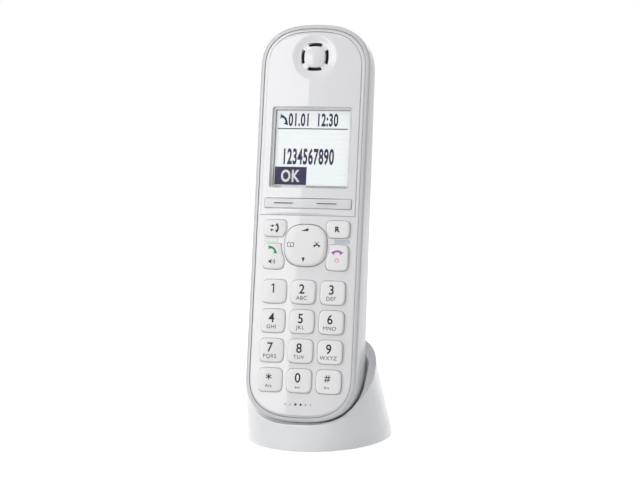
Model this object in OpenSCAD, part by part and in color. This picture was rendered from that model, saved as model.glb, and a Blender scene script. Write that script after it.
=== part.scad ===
// A slim cordless telephone handset standing in its charging cradle.
// Millimetres. The cradle stands on z = 0 and is centred on the origin. The handset faces -Y and leans
// back towards +Y. Handset parts are drawn lying down: x across, y up from the bottom end, z out of the
// face with 0 at the crest of the rim. Module in_hand() stands them up in the cradle.

/* [Handset body] */
// Length of the handset; the display window takes up what the keypad and the earpiece leave
hand_len = 160; // [158:0.5:164]
// Distance from the earpiece to the handset's top end
end_above = 13.5; // [12:0.5:16]
// Width of the handset
hand_w = 45.3; // [45:0.1:48]
// Thickness of the handset at its top end
hand_t_top = 15.2; // [15:0.1:17]
// Thickness of the handset at its bottom end
hand_t_low = 23.4; // [23.2:0.1:25]
// Length of each rounded end
end_len = 19; // [17:0.5:21]
// Fullness of the rounded ends, where 2 is an ellipse
end_power = 2.6; // [2.2:0.1:3]
// Width of the rim around the face
rim_w = 1.7; // [1.4:0.1:2]
// Depth of the rim's soft front edge
rim_edge = 1.5; // [1:0.1:2]
// How far the soft back edges reach in from the side
back_edge_in = 9; // [8:0.25:9.25]
// How deep the soft back edges are
back_edge_deep = 5.5; // [4:0.5:7]
// Draft of the side walls
side_draft = 0.3; // [0.1:0.1:0.5]
// Wall of the rear cover
hand_wall = 2.6; // [2.3:0.1:2.8]
// Back wall of the rear cover
hand_back_wall = 2.2; // [2.1:0.1:2.4]
// Lean of the handset from upright, in degrees
lean = 11.3; // [10.5:0.1:12]

/* [Face] */
// Depth of the ledge that carries the front cover
face_seat = 3; // [2.8:0.1:3.2]
// Depth of the front cover's inner face
face_inside = 1.2; // [1.1:0.05:1.3]
// Side wall of the front cover
face_wall = 1.4; // [1.2:0.1:1.6]
// Groove between the rim and the front cover
groove = 0.3; // [0.2:0.05:0.4]
// Height of the crowned face above the rim
crown = 1.1; // [1:0.05:1.3]
// Radius of the crown across the face
crown_r = 200; // [180:10:300]
// Front cover left bare around the display panel
panel_margin = 1.2; // [1:0.1:1.5]
// Height of the display panel above the keypad face
panel_rise = 0.5; // [0.3:0.05:0.7]
// Depth of the display panel's seat
panel_seat = 0.6; // [0.5:0.05:0.7]
// Distance from the navigation key to the step under the display
step_above = 12; // [11.5:0.1:12.5]

/* [Display] */
// Distance from the display window to the handset's sides
window_in = 6.15; // [6:0.05:7]
// Distance from the soft key bar to the window
window_above = 6.25; // [6:0.25:8]
// Radius of the window's corners
window_corner = 1; // [0.8:0.1:1.5]
// Ledge that carries the display lens
lens_ledge = 1; // [0.8:0.1:1.2]
// Thickness of the display lens
lens_t = 1.05; // [0.9:0.05:1.2]
// Play around the display lens
lens_gap = 0.12; // [0.08:0.02:0.2]
// Thickness of the display module
lcd_t = 2.5; // [2.2:0.1:2.6]
// Border of the display module beyond the window
lcd_border = 0.6; // [0.4:0.1:0.8]

/* [Earpiece] */
// Distance from the window to the earpiece
ear_above = 20.25; // [19:0.25:22]
// Radius of the earpiece dish
dish_r = 9; // [8:0.25:9.5]
// Depth of the earpiece dish
dish_deep = 0.7; // [0.5:0.05:0.9]
// Half width of the earpiece's raised middle
ear_half = 4.3; // [4:0.1:4.6]
// Width of the four sound slots
ear_slot_w = 1.1; // [0.8:0.1:1.3]
// Angle that each sound slot spans, in degrees
ear_slot_angle = 62; // [50:1:68]
// Height of the microphone's holes
mic_y = 7; // [6.8:0.1:7.4]
// Radius of the receiver capsule
receiver_r = 8.6; // [8:0.1:9]
// Thickness of the receiver capsule
receiver_t = 2.4; // [2:0.1:2.5]

/* [Digit keys] */
// Distance from the digit keys to the handset's sides
key_in = 5.55; // [5.45:0.05:6]
// Height of a digit key
key_h = 9.6; // [9:0.1:9.9]
// Land between two columns of digit keys
key_land = 1.8; // [1.7:0.05:2.2]
// Distance between key rows
key_pitch_y = 11.75; // [11.6:0.05:11.9]
// Height of the bottom row's centre
key_row_y = 16.4; // [16:0.1:16.6]
// Squareness of a digit key
key_power = 5; // [4:0.5:7]
// How far the keys stand out of the face
key_rise = 1.1; // [1:0.05:1.3]
// Slope of a key's sides, measured across
key_side = 0.55; // [0.3:0.05:0.7]
// Gap around every key
key_gap = 0.3; // [0.25:0.05:0.4]
// Lip that keeps a key under the front cover
key_lip = 0.35; // [0.3:0.05:0.4]
// Thickness of a key's lip
key_lip_t = 0.6; // [0.5:0.05:0.7]

/* [Function keys] */
// Width of the navigation key
nav_w = 17.4; // [16.5:0.1:17.6]
// Height of the navigation key
nav_h = 16.8; // [16:0.1:17.2]
// Distance from the top row of digit keys to the navigation key
nav_above = 18.65; // [18.5:0.05:20]
// Squareness of the navigation key
nav_power = 2.7; // [2.3:0.1:3]
// Land between the navigation key and the keys around it
nav_land = 1.3; // [1.2:0.05:1.5]
// Distance from the function keys to the handset's sides
func_in = 4.95; // [4.7:0.05:5.2]
// Width of the upper function keys
func_top_w = 9.6; // [9:0.1:10]
// Height of the upper function keys
func_top_h = 7; // [6.6:0.1:7.2]
// Distance of an upper function key above the navigation key's middle
func_top_above = 6.7; // [6.5:0.1:7]
// Width of the talk and off keys
func_low_w = 9.2; // [8.8:0.1:9.6]
// Height of the talk and off keys
func_low_h = 10.4; // [10:0.1:10.6]
// Distance of a lower function key under the navigation key's middle
func_low_under = 4.6; // [4.5:0.1:4.8]
// Width of the small bar between two function keys
web_w = 6; // [5:0.25:6.5]
// Distance from the soft key bar to the display panel's sides
soft_margin = 1.55; // [1.4:0.05:3]
// Height of the soft key bar
soft_h = 4; // [3.6:0.1:4.2]
// Distance from the step to the soft key bar
soft_above = 4.8; // [4.6:0.1:5.2]

/* [Handset inside] */
// Depth of the main board's front face
board_deep = 4.2; // [4.15:0.05:4.3]
// Thickness of the main board
board_t = 1; // [0.8:0.1:1.1]
// Thickness of the rubber key mat
mat_t = 0.4; // [0.3:0.05:0.5]
// Height of a dome on the key mat
dome_h = 0.6; // [0.5:0.05:0.65]
// Radius of a battery cell
cell_r = 5.25; // [5:0.05:5.3]
// Length of a battery cell
cell_len = 44.5; // [44:0.1:45]
// Room at each end of a cell for its contacts
cell_room = 2.5; // [2.2:0.1:2.6]
// Distance from the battery bay to the screws above it
bay_under = 3.4; // [3.3:0.1:3.8]
// Wall around the battery bay
bay_wall = 0.8; // [0.7:0.05:0.9]
// Play around the cells
bay_gap = 0.15; // [0.1:0.05:0.2]
// Width of the battery cover
lid_w = 26; // [25.4:0.1:26.2]
// Thickness of the battery cover
lid_t = 1.5; // [1.4:0.05:1.55]
// Gap around the battery cover
lid_gap = 0.25; // [0.2:0.05:0.3]
// Distance from the bay to the battery cover's ends
lid_over_low = 3.6; // [3.4:0.1:3.8]
// Distance from the bay to the battery cover's top end
lid_over_top = 7; // [6.8:0.1:7.2]
// Radius of the ringer
ringer_r = 9; // [8:0.25:9.5]
// Distance of the ringer from the window's middle
ringer_above = 12.2; // [11:0.2:14]
// Distance of the charging contacts from the middle
contact_x = 7; // [6.8:0.1:7.2]

/* [Cradle] */
// Width of the cradle at the table
cradle_w = 60.2; // [59.6:0.2:64]
// Depth of the cradle at the table
cradle_d = 72; // [71:0.5:76]
// Distance from the cradle's front to its widest place, at the table
widest_y = 38.5; // [37:0.5:40]
// Fullness of the cradle's front at the table, where 2 is an ellipse
front_power = 2; // [1.95:0.05:2.2]
// Fullness of the cradle's back at the table
back_power = 2; // [1.9:0.1:2.6]
// Height of the upper outline that the cradle's walls run to
top_z = 46; // [46:0.5:50]
// Width of the upper outline
top_w = 49.8; // [49.6:0.2:52]
// Distance of the upper outline's front from the cradle's middle
top_front = 35.6; // [35.4:0.1:36]
// Distance of the upper outline's back from the cradle's middle
top_back = 0.4; // [0:0.2:3]
// Distance from the upper outline's front to its widest place
top_widest_y = 17.2; // [16:0.2:19]
// Fullness of the upper outline's front
top_front_power = 2.5; // [2.4:0.05:2.7]
// Fullness of the upper outline's back
top_back_power = 2.5; // [2.4:0.1:3.2]
// Soft edge at the foot of the cradle
foot_edge = 0.8; // [0.4:0.1:1.2]
// Wall of the cradle
cradle_wall = 1.7; // [1.5:0.1:1.8]
// Height of the rim at the cradle's front
rim_front_z = 10.7; // [10.4:0.1:11]
// Rise of the rim towards the back, in degrees
rim_angle = 40.8; // [40:0.1:41.2]
// Depth of the open space behind the handset
cup_deep = 12; // [8:0.5:14]
// Gap between handset and cradle at the sides
dock_gap = 1.1; // [1:0.1:1.2]
// Gap between handset and cradle where it stands
stand_gap = 0.3; // [0.3:0.05:0.5]
// Gap that shows between the handset's lower edge and the rim
lip_gap = 1.1; // [0.9:0.1:1.2]
// Height of the handset's lower front edge
seat_z = 12.2; // [12:0.1:13]
// Distance from the cradle's front to the handset's lower front edge
seat_y = 1.3; // [1.2:0.1:2]

/* [Cradle inside] */
// Height of the cover's lower edge above the table
skirt_z = 0.6; // [0.4:0.1:0.8]
// Thickness of the base plate
base_t = 2; // [1.8:0.1:2.4]
// Gap around the base plate
base_gap = 0.25; // [0.2:0.05:0.4]
// Radius of a rubber foot
pad_r = 4; // [3.5:0.1:4.5]
// Height of a rubber foot
pad_h = 1.6; // [1.5:0.1:1.8]
// Distance of the feet from the middle
pad_x = 15; // [14:0.5:15.5]
// Radius of the bore of the power socket
jack_r = 2.9; // [2.8:0.05:3]
// Radius of the pin in the power socket
jack_pin_r = 1; // [0.9:0.05:1.1]
// Depth of the power socket
jack_deep = 9; // [8.5:0.25:9.5]
// Height of the power socket's axis
jack_z = 8.6; // [8.4:0.1:9]

// Distance of the front feet from the cradle's front
pad_front = 18; // [17:0.5:19]
// Distance of the back feet from the cradle's back
pad_back = 14; // [13.5:0.5:15]

/* [Hidden] */
$fn = 48;
end_steps = 16;       // sides around half of the handset's outline
key_steps = 24;       // sides around a key
ring_steps = 56;      // sides around the cradle
eps = 0.01;
window_w = hand_w - 2 * window_in;
key_w = (hand_w - 2 * key_in - 2 * key_land) / 3;
key_pitch_x = key_w + key_land;
nav_clear = nav_w / 2 + nav_land;            // radius kept clear of the other keys
func_edge = hand_w / 2 - func_in;            // outer edge of the function keys, from the middle
nav_y = key_row_y + 3 * key_pitch_y + nav_above;
func_top_y = nav_y + func_top_above;
func_low_y = nav_y - func_low_under;
step_y = nav_y + step_above;
soft_y = step_y + soft_above;
window_y0 = soft_y + window_above;           // lower edge of the window
ear_y = hand_len - end_above;
window_y1 = ear_y - ear_above;               // upper edge of the window
window_h = window_y1 - window_y0;
window_y = window_y0 + window_h / 2;
back_slope = (hand_t_low - hand_t_top) / hand_len;
back_tilt = atan(back_slope);
face_in = rim_w + groove;                    // inset of the front cover's edge
panel_in = face_in + panel_margin;           // inset of the display panel's edge
soft_w = hand_w - 2 * (panel_in + soft_margin);
lip_top = -face_inside - 0.3;                // top of the lips under the front cover
mat_z = -board_deep + mat_t;                 // top of the key mat
bay_w = 4 * cell_r + 3 * bay_gap;            // inner width of the battery bay
bay_len = cell_len + 2 * cell_room;
cell_z = lid_t + lid_gap + bay_gap + cell_r; // cell axis above the back surface
screw_y = soft_y + soft_h / 2 + 2.3;         // the two handset screws
bay_y = screw_y - bay_under - bay_len;
lid_y0 = bay_y - lid_over_low;
lid_y1 = bay_y + bay_len + lid_over_top;
screw_x = 7;
screw_deep = 10;                             // depth of the seat of the handset screws
post_x = hand_w / 2 - hand_wall - 3.65;      // the posts that carry the main board
post_ys = [key_y(6), key_y(0) + key_h, window_y0 + 3, window_y1 + 6];
ringer_y = window_y + ringer_above;
seat_y_world = seat_y - cradle_d / 2;
web_y = (func_top_y - func_top_h / 2 + func_low_y + func_low_h / 2) / 2;
contact_z = -12;                             // depth of the charging contacts' centre
plate_y = 1;                                 // outer face of the handset's charging contacts
spring_r = 1.5;                              // radius of a charging spring's tip
pivot_r = 1.1;                               // ball that the navigation key tips on
pivot_z = -2;                                // height of the tipping keys' axes
boot_r = 2.6;                                // radius of the microphone's rubber boot
rim_y0 = -cradle_d / 2;                      // the rim plane starts at the cradle's front
cup_y = seat_y_world + 12;                   // where the cup's floor starts, behind the contacts
jack_wall_y = cradle_d / 2 - 10;             // wall of the niche that the plug enters
base_z = skirt_z + 0.2;
tub_t = 2;                                   // floor of the tub that the handset stands in
block_top = -stand_gap - tub_t - 0.3;        // the contact block's upper face, below that floor

// ---------- outlines ----------

// A point of a superellipse with half axes a and b
function lobe(a, b, power, t) = [
    a * sign(cos(t)) * pow(abs(cos(t)), 2 / power),
    b * sign(sin(t)) * pow(abs(sin(t)), 2 / power)];

// The handset's outline, moved in by e
function hand_outline(e) = let (a = hand_w / 2 - e, b = end_len - e) [
    for (i = [0:end_steps]) lobe(a, b, end_power, 180 * i / end_steps) + [0, hand_len - end_len],
    for (i = [0:end_steps]) lobe(a, b, end_power, 180 + 180 * i / end_steps) + [0, end_len]];

// The display panel's outline: the handset's top end, cut straight at the step
function panel_outline(e) = let (a = hand_w / 2 - panel_in - e, b = end_len - panel_in - e) [
    for (i = [0:end_steps]) lobe(a, b, end_power, 180 * i / end_steps) + [0, hand_len - end_len],
    [-a, step_y + e], [a, step_y + e]];

// A key's outline about its own centre, grown by g
function key_outline(w, h, power, g = 0) = [
    for (i = [0:key_steps - 1]) lobe(w / 2 + g, h / 2 + g, power, 360 * i / key_steps)];

// Points inside a circle are moved out to it, which hollows a key's side
function hollowed(points, centre, r) = [
    for (p = points) let (v = p - centre, d = norm(v)) d < r ? centre + v * r / d : p];

// A function key's outline: a rounded block, hollowed around the navigation key
function func_outline(side, w, h, y, g = 0, clear = 0) = let (x = side * (func_edge - w / 2)) hollowed(
    [for (p = key_outline(w, h, key_power, g)) p + [x, y]], [0, nav_y], nav_clear - g + clear);

// The cradle's outline at height z, moved in by e
function cradle_outline(z, e) = let (
    k = z / top_z,
    a = mix(cradle_w, top_w, k) / 2 - e,
    front = -mix(cradle_d / 2, top_front, k),
    back = mix(cradle_d / 2, top_back, k),
    middle = front + mix(widest_y, top_widest_y, k)) [
    for (i = [0:ring_steps - 1]) let (t = 360 * i / ring_steps)
        (sin(t) >= 0
            ? lobe(a, back - middle - e, mix(back_power, top_back_power, k), t)
            : lobe(a, middle - front - e, mix(front_power, top_front_power, k), t)) + [0, middle]];

function mix(a, b, k) = a + (b - a) * k;
function hand_depth(y) = hand_t_low - back_slope * y;
function crown_z(x) = crown - crown_r + sqrt(crown_r * crown_r - x * x);
function key_x(i) = (i % 3 - 1) * key_pitch_x;
function key_y(i) = key_row_y + (3 - floor(i / 3)) * key_pitch_y;
function key_top(x) = crown_z(x) + key_rise;

// ---------- building blocks ----------

// A solid through a stack of outlines, given from the top down, each as a list of 3-D points
module loft(rings) {
    n = len(rings[0]);
    m = len(rings);
    polyhedron(points = [for (r = rings) each r], convexity = 6, faces = concat(
        [[for (i = [n - 1:-1:0]) i]],
        [for (k = [0:m - 2], i = [0:n - 1]) let (a = k * n + i, b = k * n + (i + 1) % n)
            each [[a, b, b + n], [a, b + n, a + n]]],
        [[for (i = [0:n - 1]) (m - 1) * n + i]]));
}

// An outline at one height
function level(points, z) = [for (p = points) [p.x, p.y, z]];

// An outline that lies on the handset's back, d in front of it
function on_slope(points, d) = [for (p = points) [p.x, p.y, d - hand_depth(p.y)]];

// A raised cap: straight up from z0, then sloping in by side to a softly edged top at z1
module cap(w, h, power, z0, foot, z1, side) loft([
    level(key_outline(w, h, power, -side - 0.25), z1),
    level(key_outline(w, h, power, -side), z1 - 0.15),
    level(key_outline(w, h, power), foot),
    level(key_outline(w, h, power), z0)]);

module plate(points, z0, z1) translate([0, 0, z0]) linear_extrude(z1 - z0) polygon(points);

module block(x0, x1, y0, y1, z0, z1) translate([x0, y0, z0]) cube([x1 - x0, y1 - y0, z1 - z0]);

module rounded_block(w, y0, y1, r, z0, z1) translate([0, 0, z0]) linear_extrude(z1 - z0) union() {
    translate([-w / 2 + r, y0]) square([w - 2 * r, y1 - y0]);
    translate([-w / 2, y0 + r]) square([w, y1 - y0 - 2 * r]);
    for (x = [-w / 2 + r, w / 2 - r], y = [y0 + r, y1 - r]) translate([x, y]) circle(r);
}

module tube(r_out, r_in, z0, z1) translate([0, 0, z0]) difference() {
    cylinder(r = r_out, h = z1 - z0);
    translate([0, 0, -1]) cylinder(r = r_in, h = z1 - z0 + 2);
}

module in_hand() translate([0, seat_y_world, seat_z]) rotate([90 - lean, 0, 0]) children();

// Lays a part on the handset's sloping back: z = 0 is the back surface and +z points into the handset
module on_back() translate([0, 0, -hand_t_low]) rotate([back_tilt, 0, 0]) children();

// The space under the crowned face, raised by h
module under_crown(h) translate([0, -10, crown + h - crown_r]) rotate([-90, 0, 0])
    cylinder(r = crown_r, h = hand_len + 20, $fn = 256);

// The body of the handset, moved in by e all round, from z0 down; growing it makes the cradle's well
module hand_solid(z0) loft(concat([
    level(hand_outline(rim_w), z0),
    level(hand_outline(rim_w * 0.5), -rim_edge * 0.08),
    level(hand_outline(rim_w * 0.15), -rim_edge * 0.4),
    level(hand_outline(0), -rim_edge)],
    [for (t = [0:18:90]) on_slope(hand_outline(side_draft + back_edge_in * (1 - cos(t))),
        back_edge_deep * (1 - sin(t)))]));

module hand_hollow() loft(concat(
    [level(hand_outline(hand_wall), -face_seat)],
    [for (t = [0:30:90]) on_slope(hand_outline(hand_wall + side_draft + (back_edge_in - 0.6) * (1 - cos(t))),
        hand_back_wall + back_edge_deep * (1 - sin(t)))]));

// ---------- handset housing ----------

module bay_outside() on_back() block(-bay_w / 2 - bay_wall, bay_w / 2 + bay_wall, bay_y - bay_wall,
    bay_y + bay_len + bay_wall, 1, cell_z + cell_r + bay_gap + bay_wall);

module bay_inside() on_back() {
    block(-bay_w / 2, bay_w / 2, bay_y, bay_y + bay_len, -3, cell_z);
    for (s = [-1, 1]) translate([s * (cell_r + bay_gap / 2), bay_y, cell_z]) rotate([-90, 0, 0])
        cylinder(r = cell_r + bay_gap, h = bay_len);
}

// A round post from the back wall up to the underside of the main board
module board_post(x, y, r) translate([x, y, -hand_depth(y) + 1.4])
    cylinder(r = r, h = hand_depth(y) - 1.4 - board_deep - board_t);

module ringer_slots() on_back() for (i = [-2:2]) translate([0, ringer_y + i * 2.6, -1])
    rounded_block(12 - 2 * abs(i), -0.6, 0.6, 0.55, 0, hand_back_wall + 2);

module rear_cover() color("whitesmoke") in_hand() difference() {
    union() {
        difference() {
            hand_solid(0);
            hand_hollow();
            plate(hand_outline(rim_w), -face_seat, 1);
        }
        bay_outside();
        for (s = [-1, 1]) {
            for (y = post_ys) board_post(s * post_x, y, 2);
            board_post(s * screw_x, screw_y, 2.75);
        }
        on_back() translate([0, ringer_y, 0]) tube(ringer_r + 1.3, ringer_r + 0.3, 1.2, 5);
    }
    bay_inside();
    on_back() rounded_block(lid_w + 2 * lid_gap, lid_y0 - lid_gap, lid_y1 + lid_gap, 3,
        -2, lid_t + lid_gap);
    ringer_slots();
    for (s = [-1, 1]) {
        translate([s * screw_x, screw_y, -hand_t_low]) cylinder(r = 2.3, h = hand_t_low - screw_deep);
        translate([s * screw_x, screw_y, -screw_deep - 1]) cylinder(r = 1.15, h = 8);
        contact_recess(s);
    }
}

module contact_recess(s) block(s * contact_x - 3.1, s * contact_x + 3.1, -1, plate_y + 0.4,
    contact_z - 4.1, contact_z + 4.1);

// The face of the handset: a crowned skin with a soft edge and a skirt that stands on the rear cover
module front_cover() color("white") in_hand() {
    face_skin();
    face_bosses();
}

module face_skin() difference() {
    intersection() {
        loft([
            level(hand_outline(face_in + 1.3), crown + 1),
            level(hand_outline(face_in + 0.5), 0.2),
            level(hand_outline(face_in + 0.12), -0.1),
            level(hand_outline(face_in), -0.45),
            level(hand_outline(face_in), -face_seat)]);
        under_crown(0);
    }
    plate(hand_outline(face_in + face_wall), -face_seat - 1, -face_inside);
    plate(panel_outline(-lens_gap), -panel_seat, 3);
    window_block(lens_ledge, -face_seat, 2);
    key_holes(-face_inside - 1, 3);
    translate([0, ear_y, -2]) cylinder(r = ear_half + 1.6, h = 4);
    mic_holes();
    for (s = [-1, 1]) web_bar(s, 0, -0.5, 2);
}

// The two bosses under the front cover that the screws bite into
module face_bosses() for (s = [-1, 1]) translate([s * screw_x, screw_y, -board_deep]) difference() {
    cylinder(r = 1.5, h = board_deep - face_inside + 0.2);
    translate([0, 0, -1]) cylinder(r = 0.85, h = 3.2);
}

module mic_holes() {
    for (i = [0:5]) translate([(i - 2.5) * 2.1, mic_y, i == 2 || i == 3 ? -3 : 0.6])
        cylinder(r = i == 2 || i == 3 ? 0.5 : 0.35, h = 5, $fn = 24);
}

module digit_hole(i, z0, z1) plate([for (p = key_outline(key_w, key_h, key_power, key_gap))
    p + [key_x(i), key_y(i)]], z0, z1);

module key_holes(z0, z1) {
    for (i = [0:11]) digit_hole(i, z0, z1);
    for (s = [-1, 1]) {
        plate(func_outline(s, func_top_w, func_top_h, func_top_y, key_gap), z0, z1);
        plate(func_outline(s, func_low_w, func_low_h, func_low_y, key_gap), z0, z1);
    }
    plate([for (p = key_outline(nav_w, nav_h, nav_power, key_gap + 0.1)) p + [0, nav_y]], z0, z1);
    soft_hole(z0, z1);
}

// The window's shape, moved in by g
module window_block(g, z0, z1)
    rounded_block(window_w - 2 * g, window_y0 + g, window_y1 - g, window_corner - g / 2, z0, z1);

module soft_hole(z0, z1) translate([0, soft_y, 0])
    rounded_block(soft_w + 2 * key_gap, -soft_h / 2 - key_gap, soft_h / 2 + key_gap, 0.8, z0, z1);

// A small bar that follows the crowned face, from z0 to z1 above it, moved in by g
module web_bar(s, g, z0, z1) translate([0, web_y, crown - crown_r])
    rotate([0, s * asin((func_edge - web_w / 2) / crown_r), 0])
        block(-web_w / 2 + g, web_w / 2 - g, -0.75 + g, 0.75 - g, crown_r + z0 + g, crown_r + z1);

// The small bars between the function keys
module key_webs() color("honeydew") in_hand() for (s = [-1, 1]) web_bar(s, 0.05, -0.5, 0.15);

// The raised panel with the window, the soft key slot and the dished earpiece
module display_panel() color("snow") in_hand() difference() {
    union() {
        difference() {
            intersection() {
                loft([
                    level(panel_outline(1.5), crown + panel_rise + 1),
                    level(panel_outline(0.8), crown + panel_rise - 0.35),
                    level(panel_outline(0.25), crown + panel_rise - 0.75),
                    level(panel_outline(0), crown + panel_rise - 1.3),
                    level(panel_outline(0), -panel_seat)]);
                under_crown(panel_rise);
            }
            translate([0, ear_y, 0]) ear_dish();
        }
        translate([0, ear_y, 0]) ear_dome();
    }
    translate([0, ear_y, -2]) ear_slots();
    window_block(0, -2, 4);
    soft_hole(-2, 4);
}

// The dish is a shallow ring with a soft outer edge
module ear_dish() rotate_extrude() polygon([
    [0, 4], [dish_r + 1, 4], [dish_r + 0.3, crown + panel_rise + 0.05],
    [dish_r - 0.6, crown + panel_rise - dish_deep * 0.2],
    [dish_r - 1.8, crown + panel_rise - dish_deep * 0.75],
    [dish_r - 3, crown + panel_rise - dish_deep], [0, crown + panel_rise - dish_deep]]);

// The raised middle, rounded like a cushion
module ear_dome() intersection() {
    plate(key_outline(2 * ear_half, 2 * ear_half, 2.8), 0, 4);
    translate([0, 0, crown + panel_rise + 0.35 - 14]) sphere(r = 14);
}

// Four slots around the raised middle
module ear_slots() linear_extrude(5) intersection() {
    difference() {
        polygon(key_outline(2 * ear_half, 2 * ear_half, 2.8, ear_slot_w));
        polygon(key_outline(2 * ear_half, 2 * ear_half, 2.8, 0));
    }
    for (q = [0:90:270]) rotate(q) polygon([[0, 0],
        [10, -10 * tan(ear_slot_angle / 2)], [10, 10 * tan(ear_slot_angle / 2)]]);
}

// ---------- display ----------

module display_lens() color("lightcyan", 0.4) in_hand()
    window_block(lens_gap, -panel_seat, -panel_seat + lens_t);

module lcd_gasket() color("dimgray") in_hand() difference() {
    lcd_z0 = -board_deep + lcd_t;
    block(-window_w / 2 - lcd_border, window_w / 2 + lcd_border, window_y - window_h / 2 - lcd_border + 0.3,
        window_y + window_h / 2 + lcd_border, lcd_z0, -face_inside);
    block(-window_w / 2 + 1, window_w / 2 - 1, window_y - window_h / 2 + 1, window_y + window_h / 2 - 1,
        lcd_z0 - 1, 0);
}

// The display module: a frame with the glass set into it
module lcd_module() color("darkseagreen") in_hand() difference() {
    block(-window_w / 2 - lcd_border, window_w / 2 + lcd_border, window_y - window_h / 2 - lcd_border + 0.3,
        window_y + window_h / 2 + lcd_border, -board_deep, -board_deep + lcd_t);
    block(-window_w / 2 + 1.2, window_w / 2 - 1.2, window_y - window_h / 2 + 1.2,
        window_y + window_h / 2 - 1.2, -board_deep + lcd_t - 0.15, 0);
}

// ---------- inside the handset ----------

module main_board() color("seagreen") in_hand() difference() {
    plate(hand_outline(hand_wall + 0.5), -board_deep - board_t, -board_deep);
    for (s = [-1, 1]) translate([s * screw_x, screw_y, -10]) cylinder(r = 1.15, h = 10);
    block(-30, 30, -1, 9, -10, 0);
}

// Rubber mat with a dome under each key
module key_mat() color("gainsboro") in_hand() {
    block(key_x(0) - key_w / 2 - 0.9, key_x(2) + key_w / 2 + 0.9, mic_y + boot_r + 0.3, soft_y + 1.4,
        -board_deep, mat_z);
    for (i = [0:11]) dome(key_x(i), key_y(i));
    for (s = [-1, 1]) {
        dome(s * (func_edge - func_top_w / 2), func_top_y);
        dome(s * (func_edge - func_low_w / 2), func_low_y);
    }
}

module dome(x, y) translate([x, y, mat_z - eps]) cylinder(r1 = 3, r2 = 2, h = dome_h + eps);

module receiver() color("silver") in_hand() translate([0, ear_y, -face_inside - 0.4 - receiver_t])
    rotate_extrude() polygon([[0, 0], [receiver_r, 0], [receiver_r, receiver_t - 0.5],
        [receiver_r - 0.5, receiver_t], [receiver_r - 2, receiver_t], [receiver_r - 3, receiver_t - 0.4],
        [2, receiver_t - 0.4], [0, receiver_t - 0.1]]);

module receiver_gasket() color("black") in_hand() translate([0, ear_y, 0])
    tube(receiver_r, receiver_r - 2, -face_inside - 0.4, -face_inside);

// Microphone capsule in its rubber boot
module microphone() color("black") in_hand() translate([0, mic_y, 0]) {
    translate([0, 0, -board_deep + 0.6]) cylinder(r = boot_r - 0.6, h = 1.5);
    tube(boot_r, boot_r - 0.55, -board_deep, -face_inside);
}

module ringer() color("gray") in_hand() on_back() translate([0, ringer_y, hand_back_wall])
    rotate_extrude() polygon([[0, 0.5], [ringer_r - 2.5, 0.9], [ringer_r - 1.6, 0], [ringer_r, 0],
        [ringer_r, 2.4], [ringer_r - 3, 2.8], [ringer_r - 3.5, 4.2], [0, 4.2]]);

// A bent metal strip that stands on the main board
module antenna() color("goldenrod") in_hand() {
    end = ear_y + receiver_r - 4.1;
    block(-post_x + 2.4, post_x - 2.4, end, end + 0.6, -board_deep - board_t - 4, -board_deep - board_t);
    for (s = [-1, 1]) block(s * (post_x - 3.9) - 1.5, s * (post_x - 3.9) + 1.5, end - 4, end + 0.6,
        -board_deep - board_t - 0.4, -board_deep - board_t);
}

module battery_cells() color("limegreen") in_hand() on_back() for (s = [-1, 1])
    translate([s * (cell_r + bay_gap / 2), bay_y + cell_room, cell_z]) rotate([-90, 0, 0]) {
        translate([0, 0, s > 0 ? 0 : 1]) cylinder(r = cell_r, h = cell_len - 1);
        translate([0, 0, s > 0 ? cell_len - 1 - eps : 0]) cylinder(r = 1.9, h = 1 + eps);
    }

// Spring plates at both ends of each cell
module battery_contacts() color("silver") in_hand() on_back()
    for (s = [-1, 1], e = [0, 1]) translate([s * (cell_r + bay_gap / 2),
        e == 0 ? bay_y : bay_y + bay_len, cell_z]) mirror([0, e, 0]) {
        block(-3.5, 3.5, 0, 0.4, -4, 4);
        translate([0, 0.4 - eps, 0]) rotate([-90, 0, 0])
            cylinder(r1 = 3, r2 = 1.6, h = cell_room - 0.4 - 0.05 + eps);
    }

module battery_cover() color("whitesmoke") in_hand() on_back() difference() {
    rounded_block(lid_w, lid_y0, lid_y1, 2.7, 0, lid_t);
    for (i = [0:3]) block(-5 + i * 0.6, 5 - i * 0.6, lid_y1 - 6 - i * 1.3, lid_y1 - 5.3 - i * 1.3, -1, 0.5);
}

module hand_contacts() color("silver") in_hand() for (s = [-1, 1])
    block(s * contact_x - 3, s * contact_x + 3, plate_y, plate_y + 0.4, contact_z - 4, contact_z + 4);

module hand_screws() color("silver") in_hand() for (s = [-1, 1])
    translate([s * screw_x, screw_y, -screw_deep]) {
        translate([0, 0, -1.4]) difference() {
            cylinder(r = 2.1, h = 1.4);
            translate([0, 0, -1]) cylinder(r = 0.9, h = 1.8, $fn = 6);
        }
        cylinder(r = 0.8, h = 7.6);
    }

// ---------- keys ----------

// A digit key: a lip under the front cover, straight sides in the hole and a sloped raised cap
module digit_key(i) color("white") in_hand() translate([key_x(i), key_y(i), 0]) {
    top = key_top(abs(key_x(i)));
    cap(key_w, key_h, key_power, lip_top - key_lip_t / 2, top - key_rise, top, key_side);
    plate(key_outline(key_w, key_h, key_power, key_gap + key_lip), lip_top - key_lip_t, lip_top);
    if (i == 4) translate([key_w / 2 - 1.7, 0, top - 0.1]) cylinder(r1 = 0.4, r2 = 0.25, h = 0.3, $fn = 16);
}

module key_1() digit_key(0);
module key_2() digit_key(1);
module key_3() digit_key(2);
module key_4() digit_key(3);
module key_5() digit_key(4);
module key_6() digit_key(5);
module key_7() digit_key(6);
module key_8() digit_key(7);
module key_9() digit_key(8);
module key_star() digit_key(9);
module key_0() digit_key(10);
module key_hash() digit_key(11);

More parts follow.
